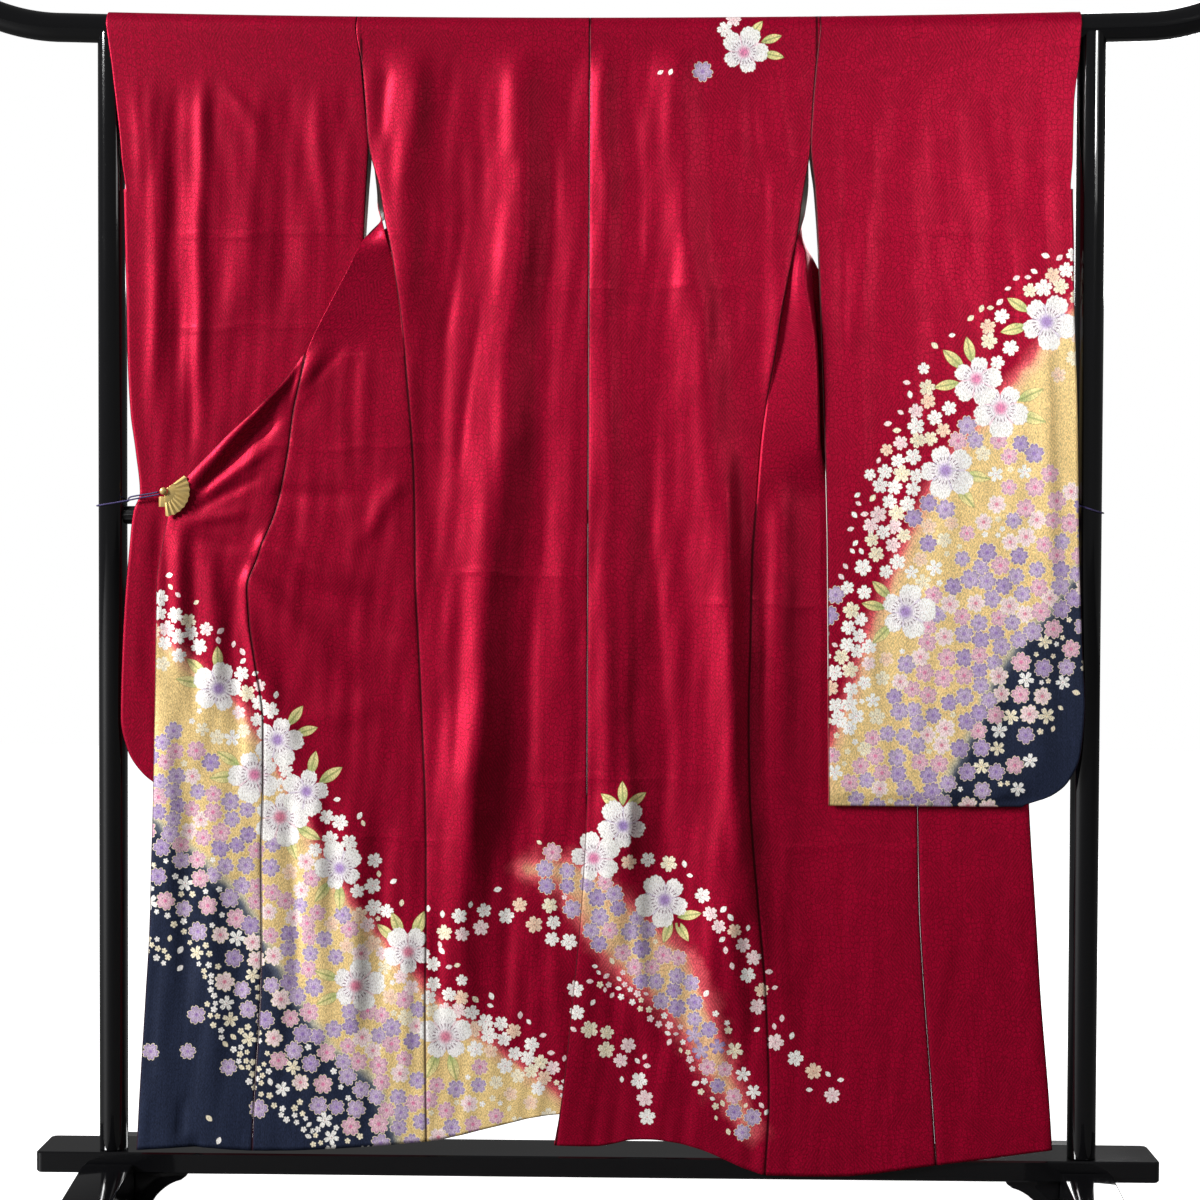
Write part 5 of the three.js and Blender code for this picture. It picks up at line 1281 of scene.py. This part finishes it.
def ground_group():
    """The dyed ground: crimson, through coral to gold, and through grey to navy."""
    tree, n, into, out = group(
        "dyed_ground", [("Place", VECTOR), ("Cloth", VECTOR), ("Gold", FLOAT), ("Navy", FLOAT),
                        ("Figure", FLOAT)], [("Colour", COLOR)])
    cloud = n.times_plus(n.noise(n.cells(into["Place"], 26, 26), 1.0, 2.0), 0.36, -0.18)
    gold_amount, navy_amount = (
        n.times_plus(cloud, n.math("GREATER_THAN", into[dye], 0.02), into[dye], clamp=True)
        for dye in ("Gold", "Navy"))
    tone = n.noise(n.cells(into["Cloth"], 110, 300), 1.0, 1.0)
    red = n.mix(tone, chosen("silk_deep"), chosen("silk_bright"))
    warm = n.mix(step_between(n, gold_amount, 0.06, 0.40), red, chosen("blush"))
    warm = n.mix(step_between(n, gold_amount, 0.32, 0.66), warm, chosen("peach"))
    gold = n.mix(tone, chosen("gold_deep"), chosen("gold_bright"))
    warm = n.mix(step_between(n, gold_amount, 0.6, 0.95), warm, gold)
    dusk = n.mix(step_between(n, navy_amount, 0.08, 0.42), warm, srgb(206, 198, 172))
    dusk = n.mix(step_between(n, navy_amount, 0.30, 0.62), dusk, srgb(96, 102, 118))
    navy = n.mix(tone, chosen("navy_deep"), chosen("navy_bright"))
    ground = n.mix(step_between(n, navy_amount, 0.5, 0.9), dusk, navy)
    contrast = n.times_plus(gold_amount, -0.26, 0.44)
    thread = n.times_plus(n.minus(into["Figure"], 0.58), contrast, 0.98)
    n.put(out["Colour"], n.shaded(ground, thread))
    return tree


MADE = {}


def once(name, maker):
    """What several pieces use is made once for one choice of colours."""
    key = (name, *(chosen(colour) for colour in KimonoColours.__annotations__))
    if key not in MADE:
        MADE[key] = maker()
    return MADE[key]


def use_group(nodes, tree, **inputs):
    node = nodes.add("ShaderNodeGroup", node_tree=tree)
    for label, value in inputs.items():
        nodes.put(node.inputs[label], value)
    return node.outputs


def silk_material(name, printed):
    """Figured crimson silk with its dyed grounds and, where printed, its blossoms."""
    made, n, shader = material(name)
    place = n.attribute("print_at")
    cloth = n.attribute("cloth_at")
    dye = n.parts(n.attribute("dye"))
    seam = n.parts(cloth)["Z"]
    weave = use_group(n, once("figured_weave", weave_group), Cloth=cloth)
    figure, grain = weave["Figure"], weave["Grain"]
    ground = use_group(n, once("dyed_ground", ground_group), Place=place, Cloth=cloth, Gold=dye["X"],
                       Navy=dye["Y"], Figure=figure)
    color, covered = ground["Colour"], dye["X"]
    if printed:
        drawn = once("printed_blossom", blossom_group)
        for k in reversed(range(SPOTS_PER_FACE)):
            spot = n.attribute(f"spot_{k}")
            style = n.attribute(f"style_{k}")
            result = use_group(n, drawn, Place=place, Spot=spot, Style=style, Ground=color)
            color = result["Colour"]
            covered = n.math("MAXIMUM", covered, result["Mask"])
    color = n.shaded(color, n.times_plus(grain, 1.9, 0.05))
    # A dark crimson band painted along sewn seams and turned edges: painted shade in the dip where the cloth
    # is drawn in.
    seam_shade = n.minus(1.0, step_between(n, seam, 0.7, 2.8))
    color = n.mix(n.times(seam_shade, 0.88), color, srgb(46, 3, 12))
    n.put(shader.inputs["Base Color"], color)
    n.put(shader.inputs["Metallic"], n.times_plus(covered, -0.32, 0.5))
    n.put(shader.inputs["Roughness"], n.times_plus(figure, -0.08, 0.53))
    shader.inputs["Specular IOR Level"].default_value = 0.2
    height = n.times_plus(dye["Z"], 1.7, n.times(grain, 0.5))
    n.bump(shader, height, 1.0, 0.00034)
    return made


FACING_TOP = 0.76               # metres above the floor


def lining_material():
    """Pale lining above, crimson facing below."""
    made, n, shader = material("lining_silk")
    place = n.object_place()
    cloth = n.attribute("cloth_at")
    height = n.parts(place)["Z"]
    grain = n.noise(n.cells(cloth, 0.9, 1.4), 1.0, 2.0, 0.7)
    pale = n.mix(grain, srgb(196, 190, 186), chosen("lining"))
    facing = n.mix(grain, srgb(150, 10, 38), srgb(178, 18, 50))
    color = n.mix(n.math("LESS_THAN", height, FACING_TOP), pale, facing)
    n.put(shader.inputs["Base Color"], color)
    n.put(shader.inputs["Roughness"], n.times_plus(grain, 0.1, 0.5))
    n.bump(shader, grain, 0.5, 0.0001)
    return made


def lacquer_material():
    made, nodes, shader = material("black_lacquer")
    place = nodes.object_place()
    shader.inputs["Base Color"].default_value = chosen("lacquer")
    haze = nodes.noise(place, 9.0, 4.0)
    dust = nodes.noise(place, 260.0, 3.0, 0.6)
    rough = nodes.add("ShaderNodeMapRange", {"Value": haze, "From Min": 0.3, "From Max": 0.75,
                                             "To Min": 0.07, "To Max": 0.13}).outputs["Result"]
    specks = nodes.times(nodes.math("GREATER_THAN", dust, 0.7), 0.08)
    nodes.put(shader.inputs["Roughness"], nodes.math("ADD", rough, specks))
    wave = nodes.noise(place, 14.0, 2.0)
    nodes.bump(shader, wave, 0.25, 0.0006)
    shader.inputs["Coat Weight"].default_value = 0.6
    shader.inputs["Coat Roughness"].default_value = 0.04
    return made


def resin_material():
    made, nodes, shader = material("matt_black_resin")
    place = nodes.object_place()
    shader.inputs["Base Color"].default_value = srgb(24, 24, 26)
    grain = nodes.noise(place, 700.0, 3.0, 0.6)
    nodes.put(shader.inputs["Roughness"], nodes.times_plus(grain, 0.3, 0.35))
    nodes.bump(shader, grain, 0.3, 0.0002)
    return made


def gold_material():
    made, nodes, shader = material("polished_gold")
    place = nodes.object_place()
    wear = nodes.noise(place, 160.0, 4.0, 0.6)
    color = nodes.mix(wear, chosen("clip_gold"), srgb(206, 166, 88))
    nodes.put(shader.inputs["Base Color"], color)
    shader.inputs["Metallic"].default_value = 0.55
    nodes.put(shader.inputs["Roughness"], nodes.times_plus(wear, 0.2, 0.24))
    nodes.bump(shader, wear, 0.3, 0.0002)
    return made


def cord_material():
    """Plied cord: strands turn round the line of the cord."""
    made, nodes, shader = material("purple_cord")
    place = nodes.attribute("cord_at")
    parts = nodes.parts(place)
    along, turn = parts["X"], parts["Y"]
    ply = nodes.math("SINE", nodes.times_plus(along, 2.4, nodes.times(turn, 2.0)))
    ply = nodes.times_plus(ply, 0.5, 0.5)
    nodes.put(shader.inputs["Base Color"], nodes.mix(ply, chosen("cord_deep"), chosen("cord_bright")))
    shader.inputs["Roughness"].default_value = 0.62
    shader.inputs["Sheen Weight"].default_value = 0.15
    nodes.bump(shader, ply, 0.8, 0.0004)
    return made


def floor_material():
    made, nodes, shader = material("pale_floor")
    place = nodes.object_place()
    tone = nodes.noise(place, 1.3, 2.0)
    shader.inputs["Roughness"].default_value = 0.65
    shader.inputs["Emission Color"].default_value = (1.0, 1.0, 1.0, 1.0)
    seen = nodes.add("ShaderNodeLightPath").outputs["Is Camera Ray"]
    pale = nodes.mix(tone, srgb(196, 196, 196), srgb(204, 204, 204))
    nodes.put(shader.inputs["Base Color"], nodes.mix(seen, srgb(70, 70, 70), pale))
    nodes.put(shader.inputs["Emission Strength"], nodes.times(seen, 0.9))
    return made


# ---------------------------------------------------------------- stand
def deselect():
    if bpy.context.object and bpy.context.object.mode != "OBJECT":
        bpy.ops.object.mode_set(mode="OBJECT")
    bpy.ops.object.select_all(action="DESELECT")


def activate(piece):
    deselect()
    piece.select_set(True)
    bpy.context.view_layer.objects.active = piece


def edit_all(action="SELECT"):
    """Opens the active piece for editing, with all of it selected or deselected."""
    bpy.ops.object.mode_set(mode="EDIT")
    bpy.ops.mesh.select_all(action=action)


def leave_edit():
    bpy.ops.object.mode_set(mode="OBJECT")


def face_outwards():
    """Turns the faces of the active closed piece outwards."""
    edit_all()
    bpy.ops.mesh.normals_make_consistent(inside=False)
    leave_edit()


def settle(piece):
    """Moves an object's place into its mesh."""
    activate(piece)
    bpy.ops.object.transform_apply(location=True, rotation=True, scale=True)


def finish_piece(piece, slot, finish, *nodes):
    piece.data.materials.clear()
    piece.data.materials.append(finish)
    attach(piece, "root")
    if nodes:
        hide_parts(*nodes)


def softened_copy(node, name, edge, steps=3, sharp=35.0):
    """A copy of a solid with its edges rounded off."""
    piece = bpy.data.objects.new(name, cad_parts[node].data.copy())
    bpy.context.collection.objects.link(piece)
    activate(piece)
    edit_all()
    bpy.ops.mesh.remove_doubles(threshold=0.00002)
    bpy.ops.mesh.tris_convert_to_quads(face_threshold=math.radians(2), shape_threshold=math.radians(60))
    bpy.ops.mesh.dissolve_limited(angle_limit=math.radians(1))
    leave_edit()
    if edge:
        bevel = piece.modifiers.new("edge", "BEVEL")
        bevel.width = edge * MM
        bevel.segments = steps
        bevel.limit_method = "ANGLE"
        bevel.angle_limit = math.radians(sharp)
        bpy.ops.object.modifier_apply(modifier="edge")
    bpy.ops.object.shade_smooth_by_angle(angle=math.radians(sharp))
    return piece


def pick_vertices(piece, rule):
    """Selects the vertices whose place passes the rule; call it outside edit mode."""
    for vertex in piece.data.vertices:
        vertex.select = bool(rule(vertex.co))
    for edge in piece.data.edges:
        edge.select = all(piece.data.vertices[k].select for k in edge.vertices)
    for face in piece.data.polygons:
        face.select = all(piece.data.vertices[k].select for k in face.vertices)


def make_bar(lacquer):
    """Half of the bar drawn out from its middle, its end swept up, then mirrored."""
    deselect()
    bend_x, bend_r, tip = 735.0, 270.0, 26.0
    sweep = math.radians(30)
    y = -PLANK_MIDDLE * MM
    bpy.ops.mesh.primitive_circle_add(vertices=56, radius=TUBE_R * MM, fill_type="NOTHING",
                                      location=(0, y, BAR_Z * MM), rotation=(0, math.pi / 2, 0))
    piece = bpy.context.object
    piece.name = "top_bar_lacquered"
    settle(piece)
    bpy.ops.object.mode_set(mode="EDIT")
    bpy.ops.mesh.select_mode(type="VERT")
    bpy.ops.mesh.select_all(action="SELECT")
    stations = np.linspace(0, bend_x, 15)
    for low, high in zip(stations[:-1], stations[1:]):
        rise = float(bar_height(high) - bar_height(low))
        bpy.ops.mesh.extrude_region_move(
            TRANSFORM_OT_translate={"value": ((high - low) * MM, 0, rise * MM)})
    bend_z = float(bar_height(bend_x) + bend_r)
    bpy.ops.mesh.spin(steps=14, angle=sweep, center=(bend_x * MM, y, bend_z * MM), axis=(0, 1, 0))
    straight = tip * MM
    bpy.ops.mesh.extrude_region_move(
        TRANSFORM_OT_translate={"value": (straight * math.cos(sweep), 0, straight * math.sin(sweep))})
    bpy.ops.mesh.edge_face_add()
    bpy.ops.mesh.bevel(offset=2.5 * MM, segments=4, affect="EDGES")
    bpy.ops.mesh.select_all(action="SELECT")
    bpy.ops.mesh.remove_doubles(threshold=0.00001)
    leave_edit()
    mirror = piece.modifiers.new("other_half", "MIRROR")
    mirror.use_axis = (True, False, False)
    mirror.merge_threshold = 0.0001
    bpy.ops.object.modifier_apply(modifier="other_half")
    face_outwards()
    bpy.ops.object.shade_smooth_by_angle(angle=math.radians(35))
    finish_piece(piece, "lacquer", lacquer, "top_bar")


def make_post(side, name, lacquer):
    deselect()
    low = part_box(name)[0][2] / MM
    high = float(bar_height(POST_X)) - 8
    bpy.ops.mesh.primitive_cylinder_add(
        vertices=64, radius=TUBE_R * MM, depth=(high - low) * MM,
        location=(side * POST_X * MM, -PLANK_MIDDLE * MM, (high + low) / 2 * MM))
    piece = bpy.context.object
    piece.name = name + "_lacquered"
    settle(piece)
    edit_all("DESELECT")
    leave_edit()
    pick_vertices(piece, lambda co: co.z < low * MM + 0.001)
    bpy.ops.object.mode_set(mode="EDIT")
    bpy.ops.mesh.bevel(offset=1.2 * MM, segments=3, affect="EDGES")
    leave_edit()
    bpy.ops.object.shade_smooth_by_angle(angle=math.radians(35))
    finish_piece(piece, "lacquer", lacquer, name)


CORD_SIDES, CORD_STATIONS = 12, 91


def make_cord(name, points, cord_r, finish):
    """A twisted silk cord as a closed tube along its course."""
    course, knots = lengths(points)
    line = through(knots, course, np.linspace(0, knots[-1], CORD_STATIONS))
    line[:, 1] -= PLANK_MIDDLE
    line *= MM
    along = np.gradient(line, axis=0)
    along /= np.linalg.norm(along, axis=1)[:, None]
    up = np.array([0.0, 0.0, 1.0]) - along * along[:, 2:3]
    up /= np.linalg.norm(up, axis=1)[:, None]
    aside = np.cross(along, up)
    turn = 2 * math.pi * np.arange(CORD_SIDES) / CORD_SIDES
    ring = aside[:, None] * np.cos(turn)[:, None] + up[:, None] * np.sin(turn)[:, None]
    tube = line[:, None] + ring * cord_r * MM
    count = len(line)
    vertices = tube.reshape(-1, 3).tolist() + [line[0].tolist(), line[-1].tolist()]
    faces = []
    first_end, last_ring = count * CORD_SIDES, (count - 1) * CORD_SIDES
    for k in range(CORD_SIDES):
        after = (k + 1) % CORD_SIDES
        for low in range(0, last_ring, CORD_SIDES):
            high = low + CORD_SIDES
            faces.append([low + k, low + after, high + after, high + k])
        faces.append([first_end, after, k])
        faces.append([first_end + 1, last_ring + k, last_ring + after])
    mesh = bpy.data.meshes.new(name)
    mesh.from_pydata(vertices, [], faces)
    mesh.shade_smooth()
    _, gone = lengths(line)
    gone = gone / MM
    place = np.stack([np.repeat(gone, CORD_SIDES), np.tile(turn, count), np.zeros(first_end)], 1)
    lay(mesh, "cord_at", "POINT", np.concatenate([place, [[0, 0, 0], [gone[-1], 0, 0]]]))
    piece = bpy.data.objects.new(name + "_silk", mesh)
    bpy.context.collection.objects.link(piece)
    activate(piece)
    face_outwards()
    finish_piece(piece, "cord", finish, name)


# ---------------------------------------------------------------- the tools of this add-on
class KimonoClothSizes(bpy.types.PropertyGroup):
    thickness: FloatProperty(
        name="Cloth thickness", description="Outer silk and lining together, in millimetres",
        default=1.3, min=0.6, max=3.0)
    collar_thickness: FloatProperty(
        name="Collar thickness", description="The folded collar band, in millimetres",
        default=2.2, min=1.0, max=5.0)


class KimonoStandSizes(bpy.types.PropertyGroup):
    edge: FloatProperty(
        name="Lacquered edge", description="Roundness of the wooden edges, in millimetres",
        default=2.0, min=0.2, max=6.0)
    cord_r: FloatProperty(
        name="Cord radius", description="Half the thickness of the tying cords, in millimetres",
        default=1.1, min=0.5, max=3.0)


class KimonoColours(bpy.types.PropertyGroup):
    silk_deep: FloatVectorProperty(
        name="Silk, deeper tone", description="Shaded tone of the figured silk",
        subtype="COLOR", size=4, min=0.0, max=1.0, default=srgb(148, 0, 34))
    silk_bright: FloatVectorProperty(
        name="Silk, brighter tone", description="Lit tone of the figured silk",
        subtype="COLOR", size=4, min=0.0, max=1.0, default=srgb(180, 5, 54))
    blush: FloatVectorProperty(
        name="Blush", description="First tone of the dyed edge",
        subtype="COLOR", size=4, min=0.0, max=1.0, default=srgb(236, 96, 106))
    peach: FloatVectorProperty(
        name="Peach", description="Second tone of the dyed edge",
        subtype="COLOR", size=4, min=0.0, max=1.0, default=srgb(248, 196, 150))
    gold_deep: FloatVectorProperty(
        name="Gold ground, deeper", description="Deeper tone of the gold dye",
        subtype="COLOR", size=4, min=0.0, max=1.0, default=srgb(232, 194, 124))
    gold_bright: FloatVectorProperty(
        name="Gold ground, brighter", description="Brighter tone of the gold dye",
        subtype="COLOR", size=4, min=0.0, max=1.0, default=srgb(250, 222, 160))
    navy_deep: FloatVectorProperty(
        name="Navy ground, deeper", description="Deeper tone of the navy dye",
        subtype="COLOR", size=4, min=0.0, max=1.0, default=srgb(28, 35, 55))
    navy_bright: FloatVectorProperty(
        name="Navy ground, brighter", description="Brighter tone of the navy dye",
        subtype="COLOR", size=4, min=0.0, max=1.0, default=srgb(42, 50, 74))
    lining: FloatVectorProperty(
        name="Lining", description="Pale silk inside the kimono",
        subtype="COLOR", size=4, min=0.0, max=1.0, default=srgb(222, 217, 212))
    lacquer: FloatVectorProperty(
        name="Lacquer", description="The stand's lacquer",
        subtype="COLOR", size=4, min=0.0, max=1.0, default=srgb(9, 9, 11))
    clip_gold: FloatVectorProperty(
        name="Clip gold", description="Metal of the fan clip",
        subtype="COLOR", size=4, min=0.0, max=1.0, default=srgb(248, 220, 150))
    cord_deep: FloatVectorProperty(
        name="Cord, deeper", description="Shaded strands of the cords",
        subtype="COLOR", size=4, min=0.0, max=1.0, default=srgb(20, 8, 60))
    cord_bright: FloatVectorProperty(
        name="Cord, brighter", description="Lit strands of the cords",
        subtype="COLOR", size=4, min=0.0, max=1.0, default=srgb(54, 32, 112))


def hang_panel(name, cloth, thickness, node, dye=no_dye, sprays=()):
    """Makes a panel of the kimono."""
    piece = shell(name, cloth, thickness, dye, sprays)
    for finish in silks()[:4 if sprays else 3]:
        piece.data.materials.append(finish)
    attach(piece, "root")
    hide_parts(node)


def silks():
    outer = once("silk", lambda: silk_material("dyed_silk", False))
    inner = once("lining", lining_material)
    printed = once("printed", lambda: silk_material("printed_silk", True))
    return outer, inner, outer, printed


class KIMONO_OT_stand(bpy.types.Operator):
    """Make the lacquered stand that the kimono hangs on"""
    bl_idname = "kimono.stand"
    bl_label = "Stand"

    def execute(self, context):
        sizes = context.scene.kimono_stand
        lacquer = once("lacquer", lacquer_material)
        resin = once("resin", resin_material)
        make_bar(lacquer)
        make_post(-1, "post_left", lacquer)
        make_post(1, "post_right", lacquer)
        for node, edge in (("base_plank", 0.0), ("foot_left", sizes.edge), ("foot_right", sizes.edge),
                           ("gusset_left", 1.2), ("gusset_right", 1.2), ("mid_rail", 0.0)):
            piece = softened_copy(node, node + "_lacquered", edge)
            finish_piece(piece, "lacquer", lacquer, node)
        for node in ("rail_cap_left", "rail_cap_right"):
            piece = softened_copy(node, node + "_fluted", 0.5, 2)
            finish_piece(piece, "resin", resin, node)
        return {"FINISHED"}


class KIMONO_OT_clips(bpy.types.Operator):
    """Make the gold clips and the cords that draw the fronts out"""
    bl_idname = "kimono.clips"
    bl_label = "Clips and cords"

    def execute(self, context):
        sizes = context.scene.kimono_stand
        gold = once("gold", gold_material)
        cord = once("cord", cord_material)
        for node, edge in (("fan_clip", 0.3), ("fan_clip_head", 0.4), ("clip_spring_left", 0.2),
                           ("clip_spring_right", 0.2)):
            piece = softened_copy(node, node + "_gilt", edge, 2)
            finish_piece(piece, "gold", gold, node)
        make_cord("cord_left", CORD_LEFT, sizes.cord_r, cord)
        make_cord("cord_right", CORD_RIGHT, sizes.cord_r, cord)
        return {"FINISHED"}


class KIMONO_OT_body(bpy.types.Operator):
    """Make the two body halves, each one strip from the back hem over the bar to the front hem"""
    bl_idname = "kimono.body"
    bl_label = "Body halves"

    def execute(self, context):
        thickness = context.scene.kimono_cloth.thickness
        skirt, cascade = once("skirt spots", skirt_print), cascade_print()
        hang_panel("body_left_silk", body_half(True), thickness, "body_left",
                   both(skirt_dye, cascade_dye), (skirt, cascade))
        hang_panel("body_right_silk", body_half(False), thickness, "body_right",
                   cascade_dye, (cascade,))
        return {"FINISHED"}


class KIMONO_OT_okumi(bpy.types.Operator):
    """Make the narrow strips sewn to the front edges"""
    bl_idname = "kimono.okumi"
    bl_label = "Okumi"

    def execute(self, context):
        thickness = context.scene.kimono_cloth.thickness
        hang_panel("okumi_left_silk", okumi_left(), thickness, "okumi_left",
                   skirt_dye, (once("skirt spots", skirt_print),))
        hang_panel("okumi_right_silk", okumi_right(), thickness, "okumi_right")
        return {"FINISHED"}


class KIMONO_OT_sleeves(bpy.types.Operator):
    """Make the two long pouch sleeves"""
    bl_idname = "kimono.sleeves"
    bl_label = "Sleeves"

    def execute(self, context):
        thickness = context.scene.kimono_cloth.thickness
        hang_panel("sleeve_left_silk", sleeve(True), thickness, "sleeve_left")
        hang_panel("sleeve_right_silk", sleeve(False), thickness, "sleeve_right",
                   sleeve_dye, (sleeve_print(),))
        return {"FINISHED"}


class KIMONO_OT_collar(bpy.types.Operator):
    """Make the folded collar band"""
    bl_idname = "kimono.collar"
    bl_label = "Collar"

    def execute(self, context):
        thickness = context.scene.kimono_cloth.collar_thickness
        hang_panel("collar_silk", collar(), thickness, "collar")
        return {"FINISHED"}


class KIMONO_OT_stage(bpy.types.Operator):
    """Set up the pale floor, the soft studio light and the camera"""
    bl_idname = "kimono.stage"
    bl_label = "Stage"

    def execute(self, context):
        deselect()
        bpy.ops.mesh.primitive_plane_add(size=14, location=(0, 0, 0))
        floor = context.object
        floor.name = "studio_floor"
        settle(floor)
        floor.data.materials.append(floor_material())
        world = bpy.data.worlds.new("studio_air")
        world.use_nodes = True
        sky = world.node_tree.nodes["Background"].inputs
        sky["Color"].default_value = (1.0, 1.0, 1.0, 1.0)
        air = Nodes(world.node_tree)
        seen = air.add("ShaderNodeLightPath").outputs["Is Camera Ray"]
        air.put(sky["Strength"], air.blend(seen, 0.10, 1.0))
        context.scene.world = world
        lamps = (
            ("key", (-8.6, -4.1, 5.0), (0.0, 0.0, 1.3), 2.6, 1950.0),
            ("fill", (3.2, -3.4, 2.5), (0.6, 0.0, 1.2), 1.2, 10.0),
            ("sleeve", (2.3, -3.2, 2.3), (0.66, 0.0, 1.3), 0.6, 1.2),
            ("back", (1.6, 3.4, 2.6), (0.0, 0.0, 1.0), 2.0, 110.0))
        for name, place, aim, size, power in lamps:
            lamp = bpy.data.lights.new(name, "AREA")
            lamp.shape = "SQUARE"
            lamp.size = size
            lamp.energy = power
            lamp.spread = math.radians(26 if name == "sleeve" else 180)
            holder = bpy.data.objects.new(name, lamp)
            context.collection.objects.link(holder)
            holder.location = place
            holder.rotation_euler = (Vector(aim) - Vector(place)).to_track_quat("-Z", "Y").to_euler()
        camera = bpy.data.cameras.new("view")
        camera.sensor_fit = "HORIZONTAL"
        camera.sensor_width = 36.0
        camera.lens = 36.0 * CAMERA_FOCAL / 1200
        holder = bpy.data.objects.new("view", camera)
        context.collection.objects.link(holder)
        holder.matrix_world = camera_place()
        context.scene.camera = holder
        context.scene.view_settings.view_transform = "Standard"
        return {"FINISHED"}


CAMERA_FOCAL = 2180.4           # in points of a picture 1200 wide
CAMERA_AT = (64.5, -3000.0, 942.8)
CAMERA_TURN = (1.168, 1.475, 0.231)     # yaw, pitch down and roll in degrees


def camera_place():
    yaw, pitch, roll = (math.radians(a) for a in CAMERA_TURN)
    right = Vector((math.cos(yaw), math.sin(yaw), 0))
    ahead = Vector((-math.sin(yaw), math.cos(yaw), 0))
    up = Vector((0, 0, 1))
    ahead, up = (ahead * math.cos(pitch) - up * math.sin(pitch),
                 up * math.cos(pitch) + ahead * math.sin(pitch))
    right, up = (right * math.cos(roll) + up * math.sin(roll),
                 up * math.cos(roll) - right * math.sin(roll))
    place = Matrix((right, up, -ahead)).transposed().to_4x4()
    x, y, z = CAMERA_AT
    place.translation = (x * MM, (y - PLANK_MIDDLE) * MM, z * MM)
    return place


class KIMONO_PT_panel(bpy.types.Panel):
    """Lists the pieces, their sizes and their colours"""
    bl_idname = "KIMONO_PT_panel"
    bl_label = "Kimono"
    bl_space_type = "VIEW_3D"
    bl_region_type = "UI"
    bl_category = "Kimono"

    def draw(self, context):
        scene = context.scene
        for settings in (scene.kimono_cloth, scene.kimono_stand, scene.kimono_colours):
            for name in settings.__annotations__:
                self.layout.prop(settings, name)
        for operator in OPERATORS:
            self.layout.operator(operator.bl_idname)


OPERATORS = (KIMONO_OT_stage, KIMONO_OT_stand, KIMONO_OT_body, KIMONO_OT_okumi, KIMONO_OT_sleeves,
             KIMONO_OT_collar, KIMONO_OT_clips)
CLASSES = (KimonoClothSizes, KimonoStandSizes, KimonoColours) + OPERATORS + (KIMONO_PT_panel,)


def register():
    for made in CLASSES:
        bpy.utils.register_class(made)
    bpy.types.Scene.kimono_cloth = PointerProperty(type=KimonoClothSizes)
    bpy.types.Scene.kimono_stand = PointerProperty(type=KimonoStandSizes)
    bpy.types.Scene.kimono_colours = PointerProperty(type=KimonoColours)


def unregister():
    del bpy.types.Scene.kimono_colours
    del bpy.types.Scene.kimono_stand
    del bpy.types.Scene.kimono_cloth
    for made in reversed(CLASSES):
        bpy.utils.unregister_class(made)


def main():
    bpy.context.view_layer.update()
    register()
    bpy.ops.kimono.stage()
    bpy.ops.kimono.stand()
    bpy.ops.kimono.body()
    bpy.ops.kimono.okumi()
    bpy.ops.kimono.sleeves()
    bpy.ops.kimono.collar()
    bpy.ops.kimono.clips()


if __name__ == "__main__":
    main()
